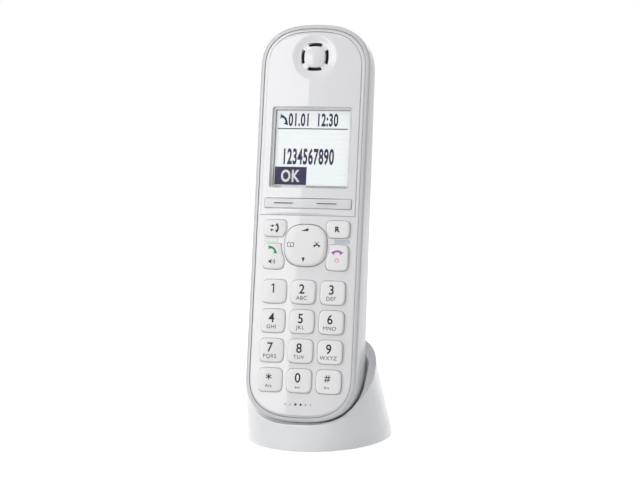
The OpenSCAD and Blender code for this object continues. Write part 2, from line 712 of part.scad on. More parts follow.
// A function key, hollowed on the side of the navigation key
module func_key(w, h, y) {
    top = key_top(func_edge - w / 2);
    loft([
        level(func_outline(1, w, h, y, -key_side - 0.25), top),
        level(func_outline(1, w, h, y, -key_side), top - 0.15),
        level(func_outline(1, w, h, y), top - key_rise),
        level(func_outline(1, w, h, y), lip_top - key_lip_t)]);
    plate(func_outline(1, w, h, y, key_gap + key_lip * 0.5, key_gap + key_lip * 0.5),
        lip_top - key_lip_t, lip_top);
}

module top_func_key() func_key(func_top_w, func_top_h, func_top_y);
module low_func_key() func_key(func_low_w, func_low_h, func_low_y);
module key_redial() color("white") in_hand() mirror([1, 0, 0]) top_func_key();
module key_flash() color("white") in_hand() top_func_key();
module key_talk() color("white") in_hand() mirror([1, 0, 0]) low_func_key();
module key_off() color("white") in_hand() low_func_key();

// The navigation key rocks on a small pivot
module nav_key() color("white") in_hand() translate([0, nav_y, 0]) difference() {
    union() {
        loft([
            level(key_outline(nav_w, nav_h, nav_power, -1.6), crown + key_rise + 0.35),
            level(key_outline(nav_w, nav_h, nav_power, -0.9), crown + key_rise + 0.2),
            level(key_outline(nav_w, nav_h, nav_power, -0.4), crown + key_rise - 0.15),
            level(key_outline(nav_w, nav_h, nav_power), crown - 0.1),
            level(key_outline(nav_w, nav_h, nav_power), lip_top - key_lip_t)]);
        plate(key_outline(nav_w, nav_h, 2, key_gap + 0.35), lip_top - key_lip_t - 0.35, lip_top - 0.4);
    }
    translate([0, 0, -5]) cylinder(r = 3, h = 5 - face_inside + 0.6);
}

module nav_pivot() color("gainsboro") in_hand() translate([0, nav_y, 0]) {
    translate([0, 0, pivot_z]) sphere(r = pivot_r);
    translate([0, 0, mat_z + 0.3]) cylinder(r = pivot_r - 0.3, h = pivot_z - mat_z - 0.3);
}

module soft_key_bar() color("white") in_hand() translate([0, soft_y, 0]) {
    z1 = crown + panel_rise + 0.7;
    intersection() {
        union() {
            rounded_block(soft_w, -soft_h / 2, soft_h / 2, 0.6, -face_inside - 1, z1 - 0.4);
            rounded_block(soft_w - 0.5, -soft_h / 2 + 0.25, soft_h / 2 - 0.25, 0.4, -1, z1 + 1);
        }
        translate([0, -soft_y, 0]) under_crown(panel_rise + 0.7);
    }
    rounded_block(soft_w + 1.2, -soft_h / 2 - 0.4, soft_h / 2 + 0.4, 0.6, -face_inside - 1.5,
        -face_inside - 0.9);
    translate([0, soft_h / 2, pivot_z]) rotate([90, 0, 0]) cylinder(r = pivot_r, h = soft_h);
}

// ---------- cradle ----------

module below_rim(drop) translate([0, rim_y0, rim_front_z - drop]) rotate([rim_angle, 0, 0])
    translate([-50, -50, -120]) cube([100, 220, 120]);

// The handset's outline, grown by side at the sides and by low at the bottom end
function well_outline(e, side, low) = [
    for (p = hand_outline(e)) [p.x * (1 + 2 * side / hand_w), p.y < hand_len / 2 ? p.y - low : p.y]];

// The front of that space, wider where the rim shows around the handset's lower edge
module well_front() in_hand() loft([
    level(well_outline(0, dock_gap, lip_gap), 12), level(well_outline(0, dock_gap, lip_gap), -5)]);

// The space that the handset's lower end stands in, open to the front and drawn up along the handset
module well(side, low, deep) in_hand() loft(concat(
    [level(well_outline(0, side, low), 12), level(well_outline(0, side, low), -rim_edge)],
    [for (a = [0:22.5:90]) level(well_outline(side_draft + back_edge_in * (1 - cos(a)), side, low),
        -(hand_depth(0) + deep - back_edge_deep * (1 - sin(a))))]));

// The walls of the cradle between two heights, moved in by e, in four stages
module cradle_walls(e, z0, z1) loft([
    for (k = [1:-0.25:0]) level(cradle_outline(mix(z0, z1, k), e), mix(z0, z1, k))]);

module cradle_outside() intersection() {
    loft(concat(
        [for (k = [1:-0.25:0]) let (z = mix(skirt_z + foot_edge, top_z, k)) level(cradle_outline(z, 0), z)],
        [level(cradle_outline(skirt_z, foot_edge * 0.6), skirt_z)]));
    below_rim(0);
}

// The open space behind the handset, between it and the cradle's wall
module cup() intersection() {
    cradle_walls(cradle_wall, 2, top_z);
    difference() {
        block(-40, 40, cup_y, 50, 5, 60);
        below_rim(cup_deep);
    }
}

// The hollow under the cradle's skin, around the tub that holds the handset
module under_tub() difference() {
    intersection() {
        cradle_walls(cradle_wall, -1, top_z);
        below_rim(3);
    }
    well(dock_gap + 1.6, stand_gap + tub_t, dock_gap + 1.6);
    below_cup();
    niche_block();
    for (p = base_screws) translate([p.x, p.y, base_z + base_t]) cylinder(r = 3, h = 30);
}

// The floor of the open space behind the handset, with all that is above it
module below_cup() difference() {
    block(-40, 40, cup_y - 0.5, 50, 5, 60);
    below_rim(cup_deep + 1.6);
}

module cradle_cover() color("white") difference() {
    cradle_outside();
    under_tub();
    well(dock_gap, stand_gap, dock_gap);
    well_front();
    cup();
    block(-6, 6, jack_wall_y, 50, base_z + base_t + 0.6, jack_z + 5);
    translate([0, jack_wall_y - 5, jack_z]) rotate([-90, 0, 0]) cylinder(r = 4.2, h = 8);
    for (s = [-1, 1]) in_hand() translate([s * contact_x, -10, contact_z]) rotate([-90, 0, 0])
        cylinder(r = spring_r + 0.3, h = 12);
    for (p = base_screws) translate([p.x, p.y, 0]) cylinder(r = 1, h = 8.6);
}

base_screws = [[-pad_x - 1, cradle_d / 2 - pad_back - 8], [pad_x + 1, cradle_d / 2 - pad_back - 8],
    [0, pad_front + 5 - cradle_d / 2]];

module niche_block() block(-8, 8, jack_wall_y - 2, 50, base_z + base_t, jack_z + 7);

// The cover's wall leans, so level with the base plate it is thicker across than it is square to itself
base_in = cradle_wall + base_gap + 0.3;

module cradle_base() color("whitesmoke") difference() {
    loft([for (z = [base_z + base_t, base_z]) level(cradle_outline(z, base_in), z)]);
    for (p = pads) translate([p.x, p.y, 0]) cylinder(r = pad_r + 0.05, h = pad_h);
    for (p = base_screws) translate([p.x, p.y, 0]) {
        cylinder(r = 1.4, h = 6);
        cylinder(r = 2.6, h = base_z + 1);
    }
}

pads = [for (x = [-pad_x, pad_x], y = [pad_front - cradle_d / 2, cradle_d / 2 - pad_back]) [x, y]];

module cradle_feet() color("dimgray") for (p = pads) translate([p.x, p.y, 0]) rotate_extrude()
    polygon([[0, 0], [pad_r - 0.4, 0], [pad_r, 0.4], [pad_r, pad_h], [0, pad_h]]);

module cradle_screws() color("silver") for (p = base_screws) translate([p.x, p.y, base_z + 1]) {
    translate([0, 0, -0.9]) cylinder(r = 2.3, h = 0.9);
    cylinder(r = 0.95, h = 6.5);
}

module spring_contact(s) color("silver") in_hand()
    translate([s * contact_x, plate_y - 0.3 - spring_r, contact_z]) rotate([90, 0, 0]) {
        cylinder(r = spring_r, h = 4.3);
        sphere(r = spring_r);
    }

module spring_contact_left() spring_contact(-1);
module spring_contact_right() spring_contact(1);

module contact_block() color("dimgray") in_hand() {
    difference() {
        block(-contact_x - 4, contact_x + 4, block_top - 2.8, block_top, contact_z - spring_r - 2,
            contact_z + spring_r + 2);
        for (s = [-1, 1]) translate([s * contact_x, block_top - 5, contact_z]) rotate([-90, 0, 0])
            cylinder(r = spring_r + 0.3, h = 12);
    }
}

module charge_board() color("seagreen")
    block(-contact_x - 5, contact_x + 5, jack_wall_y - 2 * jack_deep - 10, jack_wall_y - 5, base_z + base_t,
        base_z + base_t + board_t + 0.2);

// The power socket: a moulded body with an open bore, and its contact pin
module dc_jack() color("black") difference() {
    block(-jack_r - 1.6, jack_r + 1.6, jack_wall_y - jack_deep - 4, jack_wall_y - 2,
        base_z + base_t + board_t + 0.2, jack_z + jack_r + 1.6);
    translate([0, jack_wall_y - 2 - jack_deep, jack_z]) rotate([-90, 0, 0])
        cylinder(r = jack_r, h = jack_deep + 1);
}

module dc_jack_pin() color("silver") translate([0, jack_wall_y - 2 - jack_deep, jack_z]) rotate([-90, 0, 0])
    cylinder(r = jack_pin_r, h = jack_deep - 1);

rear_cover();
front_cover();
display_panel();
display_lens();
lcd_gasket();
lcd_module();
main_board();
key_mat();
receiver();
receiver_gasket();
microphone();
ringer();
antenna();
battery_cells();
battery_contacts();
hand_contacts();
hand_screws();
battery_cover();
key_1();
key_2();
key_3();
key_4();
key_5();
key_6();
key_7();
key_8();
key_9();
key_star();
key_0();
key_hash();
key_redial();
key_talk();
key_flash();
key_off();
nav_key();
nav_pivot();
soft_key_bar();
key_webs();
cradle_cover();
cradle_base();
cradle_feet();
cradle_screws();
spring_contact_left();
spring_contact_right();
contact_block();
charge_board();
dc_jack();
dc_jack_pin();
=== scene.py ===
import math
from dataclasses import dataclass

import bmesh
import bpy
import numpy as np
from mathutils import Matrix, Vector


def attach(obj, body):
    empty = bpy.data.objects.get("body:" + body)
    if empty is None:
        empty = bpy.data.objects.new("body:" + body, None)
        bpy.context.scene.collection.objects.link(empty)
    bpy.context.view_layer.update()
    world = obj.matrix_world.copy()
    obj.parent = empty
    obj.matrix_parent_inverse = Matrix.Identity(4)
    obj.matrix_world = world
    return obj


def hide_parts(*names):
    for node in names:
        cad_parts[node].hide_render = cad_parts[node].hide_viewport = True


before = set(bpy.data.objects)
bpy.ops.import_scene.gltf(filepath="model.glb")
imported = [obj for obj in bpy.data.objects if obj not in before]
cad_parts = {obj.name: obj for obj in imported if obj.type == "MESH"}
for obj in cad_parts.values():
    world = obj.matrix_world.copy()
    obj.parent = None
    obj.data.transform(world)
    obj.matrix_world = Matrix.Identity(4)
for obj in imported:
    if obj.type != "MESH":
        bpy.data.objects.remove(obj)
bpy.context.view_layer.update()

# A cordless handset in its charging cradle, in millimetres. The handset's own frame has its lower end
# at y 0, the crest of its rim at z 0 and its back at negative z, and IN_HAND stands it up. The outer
# sizes are the part's own; SEAM, EAR_SLOT and CUP_WALL are as wide as they look. Where a line holds
# several sizes, the comment over it names them in turn.

# Handset: length, width, thickness at the lower end and at the top end
HAND_LEN, HAND_W, DEPTH_LOW, DEPTH_TOP = 160, 45.3, 23.4, 15.2
BACK_SLOPE = (DEPTH_LOW - DEPTH_TOP) / HAND_LEN
# Its rounded ends: length, and fullness, where 2 is an ellipse
END_LEN, END_POWER = 19, 2.6
# Its rim around the face: width, depth of the soft edge; the draft of the sides
RIM_W, RIM_EDGE, SIDE_DRAFT = 1.7, 1.5, 0.3
# Its soft back edges: how far they reach in, how deep they are; the walls
BACK_EDGE_IN, BACK_EDGE_DEEP = 9, 5.5
WALL, BACK_WALL = 2.6, 2.2
# How far it leans back in the cradle
LEAN = math.radians(11.3)

# The seams between the face, the keys and the rim
SEAM = 0.15
# Face: inset, wall, depth of its seat, depth of its inner side
FACE_IN, FACE_WALL, FACE_SEAT, FACE_INSIDE = RIM_W + 0.3, 1.4, 3, 1.2
FACE_EDGE = RIM_W + SEAM
# Its crown: height over the rim, and radius
CROWN, CROWN_R = 1.1, 200
# Display panel: inset, height over the face, depth of its seat
PANEL_IN, PANEL_RISE, PANEL_SEAT = FACE_IN + 1.2, 0.5, 0.6

# Digit keys: height, distance between rows, place of the bottom row, squareness
KEY_H, PITCH_Y, ROW_Y, KEY_POWER = 9.6, 11.75, 16.4, 5
# The land beside them and between their columns
KEYS_IN, KEY_LAND = 5.55, 1.8
KEY_W = (HAND_W - 2 * KEYS_IN - 2 * KEY_LAND) / 3
PITCH_X = KEY_W + KEY_LAND
# Every key: how far it stands out, how far its shoulder goes in and down, height of its dome
KEY_RISE, KEY_SIDE, SHOULDER, DOME = 1.1, 0.55, 0.8, 0.16
# Inside the face: the gap around it, and the width, thickness and top of its lip
KEY_GAP, LIP, LIP_T, LIP_TOP = 0.3, 0.21, 0.6, -FACE_INSIDE - 0.3

# Navigation key: width, height, squareness, how far it stands out; place, radius kept clear round it
NAV_W, NAV_H, NAV_POWER, NAV_RISE = 17.4, 16.8, 2.7, KEY_RISE + 0.35
NAV_Y = ROW_Y + 3 * PITCH_Y + 18.65
NAV_CLEAR = NAV_W / 2 + 1.3
# Keys around it: their outer edge; width, height and place of the upper two and of the lower two
FUNC_EDGE = HAND_W / 2 - 4.95
FUNC_TOP_W, FUNC_TOP_H, FUNC_TOP_Y = 9.6, 7, NAV_Y + 6.7
FUNC_LOW_W, FUNC_LOW_H, FUNC_LOW_Y = 9.2, 10.4, NAV_Y - 4.6
# The small bars between them: width, height and place
WEB_W, WEB_H, WEB_Y = 6, 1.5, (FUNC_TOP_Y - FUNC_TOP_H / 2 + FUNC_LOW_Y + FUNC_LOW_H / 2) / 2
# The step under the display, and the soft key bar: width, height, place, height over the panel
STEP_Y = NAV_Y + 12
SOFT_W, SOFT_H, SOFT_Y, SOFT_RISE = HAND_W - 2 * (PANEL_IN + 1.55), 4, STEP_Y + 4.8, 0.7

# Earpiece: place; radius and depth of its dish, half width and squareness of its raised middle
EAR_Y = HAND_LEN - 13.5
DISH_R, DISH_DEEP, EAR_HALF, EAR_POWER = 9, 0.7, 4.3, 2.8
# Its four slots: width, angle that each spans
EAR_SLOT, EAR_ANGLE = 1.4, math.radians(62)
# Display window: width, lower end, upper end; radius of its corners, ledge under its lens
WINDOW_W, WINDOW_Y0, WINDOW_Y1 = HAND_W - 2 * 6.15, SOFT_Y + 6.25, EAR_Y - 20.25
WINDOW_CORNER, LEDGE = 1, 1
# The lit ground behind it: depth of its lower side, thickness
SCREEN_Z, SCREEN_T = -1.85, 0.15
# Microphone: place of its holes, distance between them, radius of an open and of a blind one
MIC_Y, MIC_PITCH, MIC_R, BLIND_R = 7, 2.1, 0.5, 0.35

# Screws in the back: place, depth of their heads, radius of their wells
SCREW_X, SCREW_Y, SCREW_DEEP, SCREW_WELL = 7, SOFT_Y + SOFT_H / 2 + 2.3, 10, 2.3
# Battery bay: width, wall, height of the cells' axes over the back, radius of a cell's room; ends
BAY_W, BAY_WALL, CELL_Z, CELL_R = 21.45, 0.8, 7.15, 5.4
BAY_Y1 = SCREW_Y - 3.4
BAY_Y0 = BAY_Y1 - 49.5
# Battery cover: width, lower end, upper end, thickness, gap
LID_W, LID_Y0, LID_Y1, LID_T, LID_GAP = 26, BAY_Y0 - 3.6, BAY_Y1 + 7, 1.5, 0.25
RINGER_Y = (WINDOW_Y0 + WINDOW_Y1) / 2 + 12.2
# Charging contacts: place in the lower end, half width and half height of their openings
CONTACT_X, CONTACT_Z, CONTACT_HALF_W, CONTACT_HALF_H = 7, -12, 3.1, 4.1

# Cradle at the table: width, depth, front to widest line, fullness of front, fullness of back
CRADLE_W, CRADLE_D, WIDEST_Y, FRONT_POWER, BACK_POWER = 60.2, 72, 38.5, 2, 2
# The upper outline that its walls run to: height, width, front, back, widest line; fullness
TOP_Z, TOP_W, TOP_FRONT, TOP_BACK, TOP_WIDEST_Y = 46, 49.8, 35.6, 0.4, 17.2
TOP_FRONT_POWER, TOP_BACK_POWER = 2.5, 2.5
# Its lower edge: height over the table, rounding; its wall, the broad wall around the cup
SKIRT_Z, FOOT_EDGE, CRADLE_WALL, CUP_WALL = 0.6, 0.8, 1.7, 4.6
# Its rim: height at the front, rise towards the back; depth of the cup under it
RIM_FRONT_Z, RIM_ANGLE, CUP_DEEP = 10.7, math.radians(40.8), 12
# Gaps to the handset: at its sides, where it stands, under its lower front edge; the tub's floor, wall
DOCK_GAP, STAND_GAP, LIP_GAP, TUB_T, TUB_WALL = 1.1, 0.3, 1.1, 2, 1.6
# The handset's lower front edge, and the cup's start behind the handset
SEAT_Y, SEAT_Z = 1.3 - CRADLE_D / 2, 12.2
CUP_Y = SEAT_Y + 12
# The power socket's niche and height; the base plate's top and its screws
NICHE_Y, JACK_Z, BASE_TOP = CRADLE_D / 2 - 10, 8.6, 2.8
BASE_SCREWS = ((-16, 14), (16, 14), (0, -13))
# Radii of the base screws' posts, the springs' holes and the power socket's hole
POST_R, SPRING_HOLE, JACK_HOLE = 3, 1.8, 4.2

# Printing: thickness, place beside a key's middle, height of digits, height of letters
INK, PRINT_X, DIGIT_TALL, LETTER_TALL = 0.03, -0.4, 3.7, 1.55

# Light: how bright the room is as a lamp, what the floor adds to look white
ROOM_LIGHT, FLOOR_GLOW = 0.2, 0.88

# From the handset's own frame to where it stands, and from its back to its own frame
IN_HAND = Matrix(((1, 0, 0, 0),
                  (0, math.sin(LEAN), -math.cos(LEAN), SEAT_Y),
                  (0, math.cos(LEAN), math.sin(LEAN), SEAT_Z),
                  (0, 0, 0, 1)))
ON_BACK = Matrix.Translation((0, 0, -DEPTH_LOW)) @ Matrix.Rotation(math.atan(BACK_SLOPE), 4, "X")
METRES = Matrix.Scale(0.001, 4)


def linked(name, data):
    """A new object in the scene."""
    obj = bpy.data.objects.new(name, data)
    bpy.context.scene.collection.objects.link(obj)
    return obj


# ---- the camera ----

def aimed(name, data, target, around, up, away):
    """A camera or lamp that looks at target, from degrees around the front and degrees up."""
    around, up = math.radians(around), math.radians(up)
    direction = Vector((math.sin(around) * math.cos(up), -math.cos(around) * math.cos(up), math.sin(up)))
    obj = linked(name, data)
    obj.location = target + direction * away
    obj.rotation_euler = direction.to_track_quat("Z", "Y").to_euler()
    return obj


def add_camera():
    """The photograph's viewing angle: 14 degrees round to the right and 6 degrees up."""
    data = bpy.data.cameras.new("camera")
    data.lens, data.sensor_width = 112.3, 36
    data.clip_start, data.clip_end = 0.05, 20
    target = Vector((0.00935, -0.0358, 0.0852))
    bpy.context.scene.camera = aimed("camera", data, target, 14, 6.04, 0.78)


# ---- outlines, in the plane of the face ----

def lobe(a, b, power, t):
    """Points of a superellipse with half axes a and b."""
    c, s = np.cos(t), np.sin(t)
    return np.stack([a * np.sign(c) * abs(c) ** (2 / power), b * np.sign(s) * abs(s) ** (2 / power)], 1)


def between(start, end, steps):
    """Points from start to end, without either of them."""
    k = np.linspace(0, 1, steps + 2)[1:-1, None]
    return (1 - k) * np.array(start, float) + k * np.array(end, float)


def hand_outline(inset, share=1, arc=48, side=24):
    """The handset's outline, moved in by inset and then shrunk to a share of its width."""
    a, b = (HAND_W / 2 - inset) * share, (END_LEN - inset) * share
    t = np.linspace(0, math.pi, arc + 1)
    top = HAND_LEN - END_LEN
    return np.concatenate([
        lobe(a, b, END_POWER, t) + [0, top], between((-a, top), (-a, END_LEN), side),
        lobe(a, b, END_POWER, t + math.pi) + [0, END_LEN], between((a, END_LEN), (a, top), side)])


def panel_outline(inset, share=1, arc=64, side=56, foot=40):
    """The display panel's outline: the handset's top end, cut straight at the step."""
    full = HAND_W / 2 - PANEL_IN - inset
    a, b = full * share, (END_LEN - PANEL_IN - inset) * share
    t = np.linspace(0, math.pi, arc + 1)
    top, low = HAND_LEN - END_LEN, STEP_Y + inset + full * (1 - share)
    corners = [[-a, low]], between((-a, low), (a, low), foot), [[a, low]]
    return np.concatenate([lobe(a, b, END_POWER, t) + [0, top], between((-a, top), (-a, low), side),
                           *corners, between((a, low), (a, top), side)])


def key_outline(width, height, power, grow=0, steps=80):
    """A superellipse of this width and height, moved outwards by grow."""
    t = np.linspace(0, 2 * math.pi, steps, endpoint=False)
    return lobe(width / 2 + grow, height / 2 + grow, power, t)


def box_outline(width, y0, y1, radius, steps=8):
    """A rectangle with round corners, centred on x 0."""
    t = np.linspace(0, math.pi / 2, steps + 1)
    corners = [(1, y1 - radius, 0), (-1, y1 - radius, 1), (-1, y0 + radius, 2), (1, y0 + radius, 3)]
    return np.concatenate([
        np.stack([s * (width / 2 - radius) + radius * np.cos(t + q * math.pi / 2),
                  y + radius * np.sin(t + q * math.pi / 2)], 1) for s, y, q in corners])


def circle(radius, x=0, y=0, steps=48):
    """A circle round x and y."""
    return lobe(radius, radius, 2, np.linspace(0, 2 * math.pi, steps, endpoint=False)) + [x, y]


def quarter_round(step):
    """A rounded edge every step degrees: how far in and how far up it is, as shares."""
    return [(1 - math.cos(t), 1 - math.sin(t)) for t in np.radians(np.arange(0, 91, step))]


def crown_z(x):
    """Height of the crowned face beside its middle line."""
    return CROWN - CROWN_R + np.sqrt(CROWN_R ** 2 - np.asarray(x, float) ** 2)


def soft_min(a, b, soft=0.12):
    """The lower of two heights, with the corner between them rounded."""
    return -soft * np.logaddexp(-np.asarray(a) / soft, -np.asarray(b) / soft)


def level(points, z):
    """An outline lifted to a height, or to one height a point."""
    return np.column_stack([points, np.broadcast_to(z, len(points))])


def on_slope(points, front):
    """An outline that lies on the handset's back, moved forward."""
    return level(points, front - DEPTH_LOW + BACK_SLOPE * points[:, 1])


# ---- solids ----

def solid(rings, pinched=False):
    """A closed mesh through rings of points; a last ring that is pinched flat needs no lid."""
    count = len(rings[0])
    faces = [list(range(count))]
    if not pinched:
        faces.append([(len(rings) - 1) * count + i for i in range(count)][::-1])
    for k in range(len(rings) - 1):
        for i in range(count):
            a, b = k * count + i, k * count + (i + 1) % count
            faces.append([b, a, a + count, b + count])
    mesh = bpy.data.meshes.new("solid")
    mesh.from_pydata(np.concatenate(rings).tolist(), [], faces)
    return in_scene(mesh)


def in_scene(mesh):
    """The mesh as an object, with double points joined and normals outwards."""
    work = bmesh.new()
    work.from_mesh(mesh)
    bmesh.ops.remove_doubles(work, verts=work.verts, dist=1e-5)
    bmesh.ops.recalc_face_normals(work, faces=work.faces)
    work.to_mesh(mesh)
    work.free()
    return linked("solid", mesh)


def prism(points, z0, z1):
    """A straight solid with this outline, from z0 to z1."""
    return solid([level(points, z0), level(points, z1)])


def block(x0, x1, y0, y1, z0, z1):
    """A box between these planes."""
    return prism(np.array([[x0, y0], [x1, y0], [x1, y1], [x0, y1]], float), z0, z1)


def moved(obj, matrix):
    """The solid with its mesh moved by a matrix."""
    obj.data.transform(matrix)
    return obj


def together(objects):
    """Several solids that don't touch, as one object."""
    first = objects[0]
    with bpy.context.temp_override(active_object=first, selected_editable_objects=objects):
        bpy.ops.object.join()
    return first


def final_mesh(obj):
    """The mesh that an object shows, with its modifiers."""
    bpy.context.view_layer.update()
    graph = bpy.context.evaluated_depsgraph_get()
    return bpy.data.meshes.new_from_object(obj.evaluated_get(graph))


def applied(obj):
    """Applies the object's modifiers."""
    mesh = final_mesh(obj)
    obj.modifiers.clear()
    obj.data = mesh
    return obj


def combine(obj, operation, *tools):
    """Changes a solid by tools in turn, and uses them up."""
    for tool in tools:
        change = obj.modifiers.new("combine", "BOOLEAN")
        change.operation, change.solver, change.object = operation, "EXACT", tool
        applied(obj)
        bpy.data.objects.remove(tool)
    return obj


def cut(obj, *tools):
    """Cuts tools from a solid."""
    return combine(obj, "DIFFERENCE", *tools)


def soften(obj, width, angle):
    """Rounds the edges sharper than an angle; large faces are first cut up, to stay whole."""
    obj.modifiers.new("cut_up", "TRIANGULATE").min_vertices = 5
    change = obj.modifiers.new("soften", "BEVEL")
    change.width, change.segments = width, 2
    change.limit_method, change.angle_limit = "ANGLE", math.radians(angle)
    return applied(obj)


def dress(mesh, material):
    """Gives a mesh its material."""
    mesh.materials.clear()
    mesh.materials.append(material)


def piece(obj, name, body, material, matrix=IN_HAND, replaces=(), smooth=35):
    """Puts a solid in its place and gives it its shading, material and body."""
    obj.name = obj.data.name = name
    obj.data.transform(METRES @ matrix)
    obj.data.shade_smooth()
    obj.data.set_sharp_from_angle(angle=math.radians(smooth))
    dress(obj.data, material)
    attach(obj, body)
    if replaces:
        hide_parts(*replaces)


# ---- materials ----

def linear(r, g, b):
    """A colour written as 0 to 255, in Blender's linear light."""
    return tuple(((c / 255 + 0.055) / 1.055) ** 2.4 if c > 10 else c / 255 / 12.92 for c in (r, g, b)) + (1,)


def tinted(colour, times, plus=0.0):
    """The colour made darker or paler."""
    return tuple(min(1, c * times + plus) for c in colour[:3]) + (1,)


def fill(node, inputs):
    """Sets a node's inputs, each to a number, a colour or a socket."""
    for name, value in inputs.items():
        if isinstance(value, bpy.types.NodeSocket):
            node.id_data.links.new(value, node.inputs[name])
        else:
            node.inputs[name].default_value = value


def add_node(tree, kind, inputs, output=0, **settings):
    """Adds a node with these inputs and settings, and gives one output."""
    node = tree.nodes.new("ShaderNode" + kind)
    for name, value in settings.items():
        setattr(node, name, value)
    fill(node, inputs)
    return node.outputs[output]


class Paint:
    """A material's nodes, with short ways to add what the materials below share."""

    def __init__(self, name):
        self.material = bpy.data.materials.new(name)
        self.material.use_nodes = True
        self.tree = self.material.node_tree
        self.where = add_node(self.tree, "TexCoord", {}, "Object")

    def set(self, **inputs):
        """Sets the shader's own inputs, written with _ for a space."""
        fill(self.tree.nodes["Principled BSDF"], {name.replace("_", " "): v for name, v in inputs.items()})

    def along(self, axis):
        """The place along an axis, in metres."""
        return add_node(self.tree, "SeparateXYZ", {"Vector": self.where}, axis)

    def noise(self, size, detail=3, stretch=(1, 1, 1)):
        """Noise whose patches measure size millimetres."""
        place = add_node(self.tree, "Mapping", {"Scale": stretch, "Vector": self.where})
        return add_node(self.tree, "TexNoise", {"Scale": 1000 / size, "Detail": detail, "Vector": place})

    def spread(self, value, low, high, start=0.3, end=0.7):
        """The value from start to end, stretched to run from low to high."""
        return add_node(self.tree, "MapRange", {"Value": value, "From Min": start, "From Max": end,
                                                "To Min": low, "To Max": high})

    def mix(self, share, first, second):
        """Two colours mixed by a share."""
        return add_node(self.tree, "Mix", {"Factor": share, "A": first, "B": second}, "Result",
                        data_type="RGBA")

    def patches(self, first, second, most, size, detail=3):
        """The first colour with soft patches of the second."""
        return self.mix(self.spread(self.noise(size, detail), 0, most), first, second)

    def tone(self, colour, change, size=28):
        """The colour with a slow change of tone."""
        return self.patches(tinted(colour, 1 - change), tinted(colour, 1 + change), 1, size)

    def pale_edges(self, colour, pale_edging, most):
        """Edges turned to another colour, in patches: where a rounded normal leaves the true one."""
        rounded = add_node(self.tree, "Bevel", {"Radius": 0.0002}, samples=8)
        true = add_node(self.tree, "NewGeometry", {}, "Normal")
        turn = add_node(self.tree, "VectorMath", {0: rounded, 1: true}, "Value", operation="DOT_PRODUCT")
        edge, patchy = self.spread(turn, most, 0, 0.7, 0.9), self.spread(self.noise(6), 0, 1)
        both = add_node(self.tree, "Math", {0: edge, 1: patchy}, operation="MULTIPLY")
        return self.mix(both, colour, pale_edging)

    def finish(self, colour, rough, grain, strength, deep=0.03):
        """The material, with its colour, with roughness from low to high in patches of a size, and
        with grain that is deep millimetres high."""
        low, high, size = rough
        height = {"Strength": strength, "Distance": deep / 1000, "Height": grain}
        self.set(Base_Color=colour, Roughness=self.spread(self.noise(size, 4), low, high),
                 Normal=add_node(self.tree, "Bump", height))
        return self.material


def plastic(name, colour, rough, coat=0.0):
    """Moulded plastic: fine grain, a slow change of tone, slightly paler edges in patches."""
    paint = Paint(name)
    paint.set(Coat_Weight=coat, Coat_Roughness=0.03, IOR=1.49)
    pale_edging = paint.pale_edges(paint.tone(colour, 0.012), tinted(colour, 1.1, 0.02), 0.15)
    return paint.finish(pale_edging, (rough * 0.94, rough * 1.06, 4.2), paint.noise(0.35, 2), 0.02)


def rubber(name, colour):
    """Matt rubber with a coarser skin and a bloom of dust."""
    paint = Paint(name)
    dusty = paint.patches(colour, tinted(colour, 0.6, 0.12), 0.35, 5, 6)
    return paint.finish(dusty, (0.6, 0.85, 1.2), paint.noise(0.25, 3), 0.35)


def metal(name, colour, rough):
    """Stamped metal: fine drawing lines and a faint tarnish."""
    paint = Paint(name)
    paint.set(Metallic=1.0)
    dull = paint.patches(colour, tinted(colour, 0.72), 0.6, 3, 5)
    return paint.finish(dull, (rough * 0.7, rough * 1.4, 0.8), paint.noise(0.2, 2, (1, 12, 1)), 0.2)


def circuit_board(name):
    """Green lacquer over copper tracks, with paler pads."""
    paint = Paint(name)
    tracks = add_node(paint.tree, "TexBrick", {
        "Vector": paint.where, "Scale": 260, "Mortar Size": 0.06, "Color1": linear(24, 92, 52),
        "Color2": linear(28, 104, 60), "Mortar": linear(60, 138, 84)})
    pads = paint.spread(paint.noise(2, 2), 0, 1, 0.64, 0.66)
    lacquer = paint.mix(pads, tracks, linear(196, 188, 150))
    return paint.finish(lacquer, (0.25, 0.45, 1.5), tracks.node.outputs["Fac"], 0.3)


def cell_sleeve(name):
    """A cell's printed sleeve: a pale band over a green one, faded in patches."""
    paint = Paint(name)
    band = paint.spread(paint.along("Z"), 0, 1, 0.078, 0.0782)
    body = paint.mix(band, linear(92, 158, 96), linear(226, 228, 222))
    faded = paint.patches(body, linear(176, 186, 170), 0.25, 4, 5)
    return paint.finish(faded, (0.3, 0.5, 2), paint.noise(0.5, 3), 0.1)


def web_plastic(name):
    """Clear plastic bars: pale green on the left, blue grey on the right."""
    paint = Paint(name)
    side = paint.spread(paint.along("X"), 0, 1, -0.0005, 0.0005)
    sides = paint.mix(side, linear(212, 230, 220), linear(198, 208, 214))
    pale_edging = paint.pale_edges(sides, linear(240, 242, 242), 0.4)
    paint.set(Coat_Weight=0.6, Coat_Roughness=0.05)
    return paint.finish(pale_edging, (0.2, 0.35, 1), paint.noise(0.4, 3), 0.05)


def clear_window(name):
    """The display's clear window, with a slight haze of fine scratches."""
    paint = Paint(name)
    paint.set(IOR=1.49, Alpha=0.04)
    haze = paint.tone(linear(190, 194, 200), 0.01)
    return paint.finish(haze, (0.04, 0.1, 3), paint.noise(0.6, 2, (8, 1, 1)), 0.02)


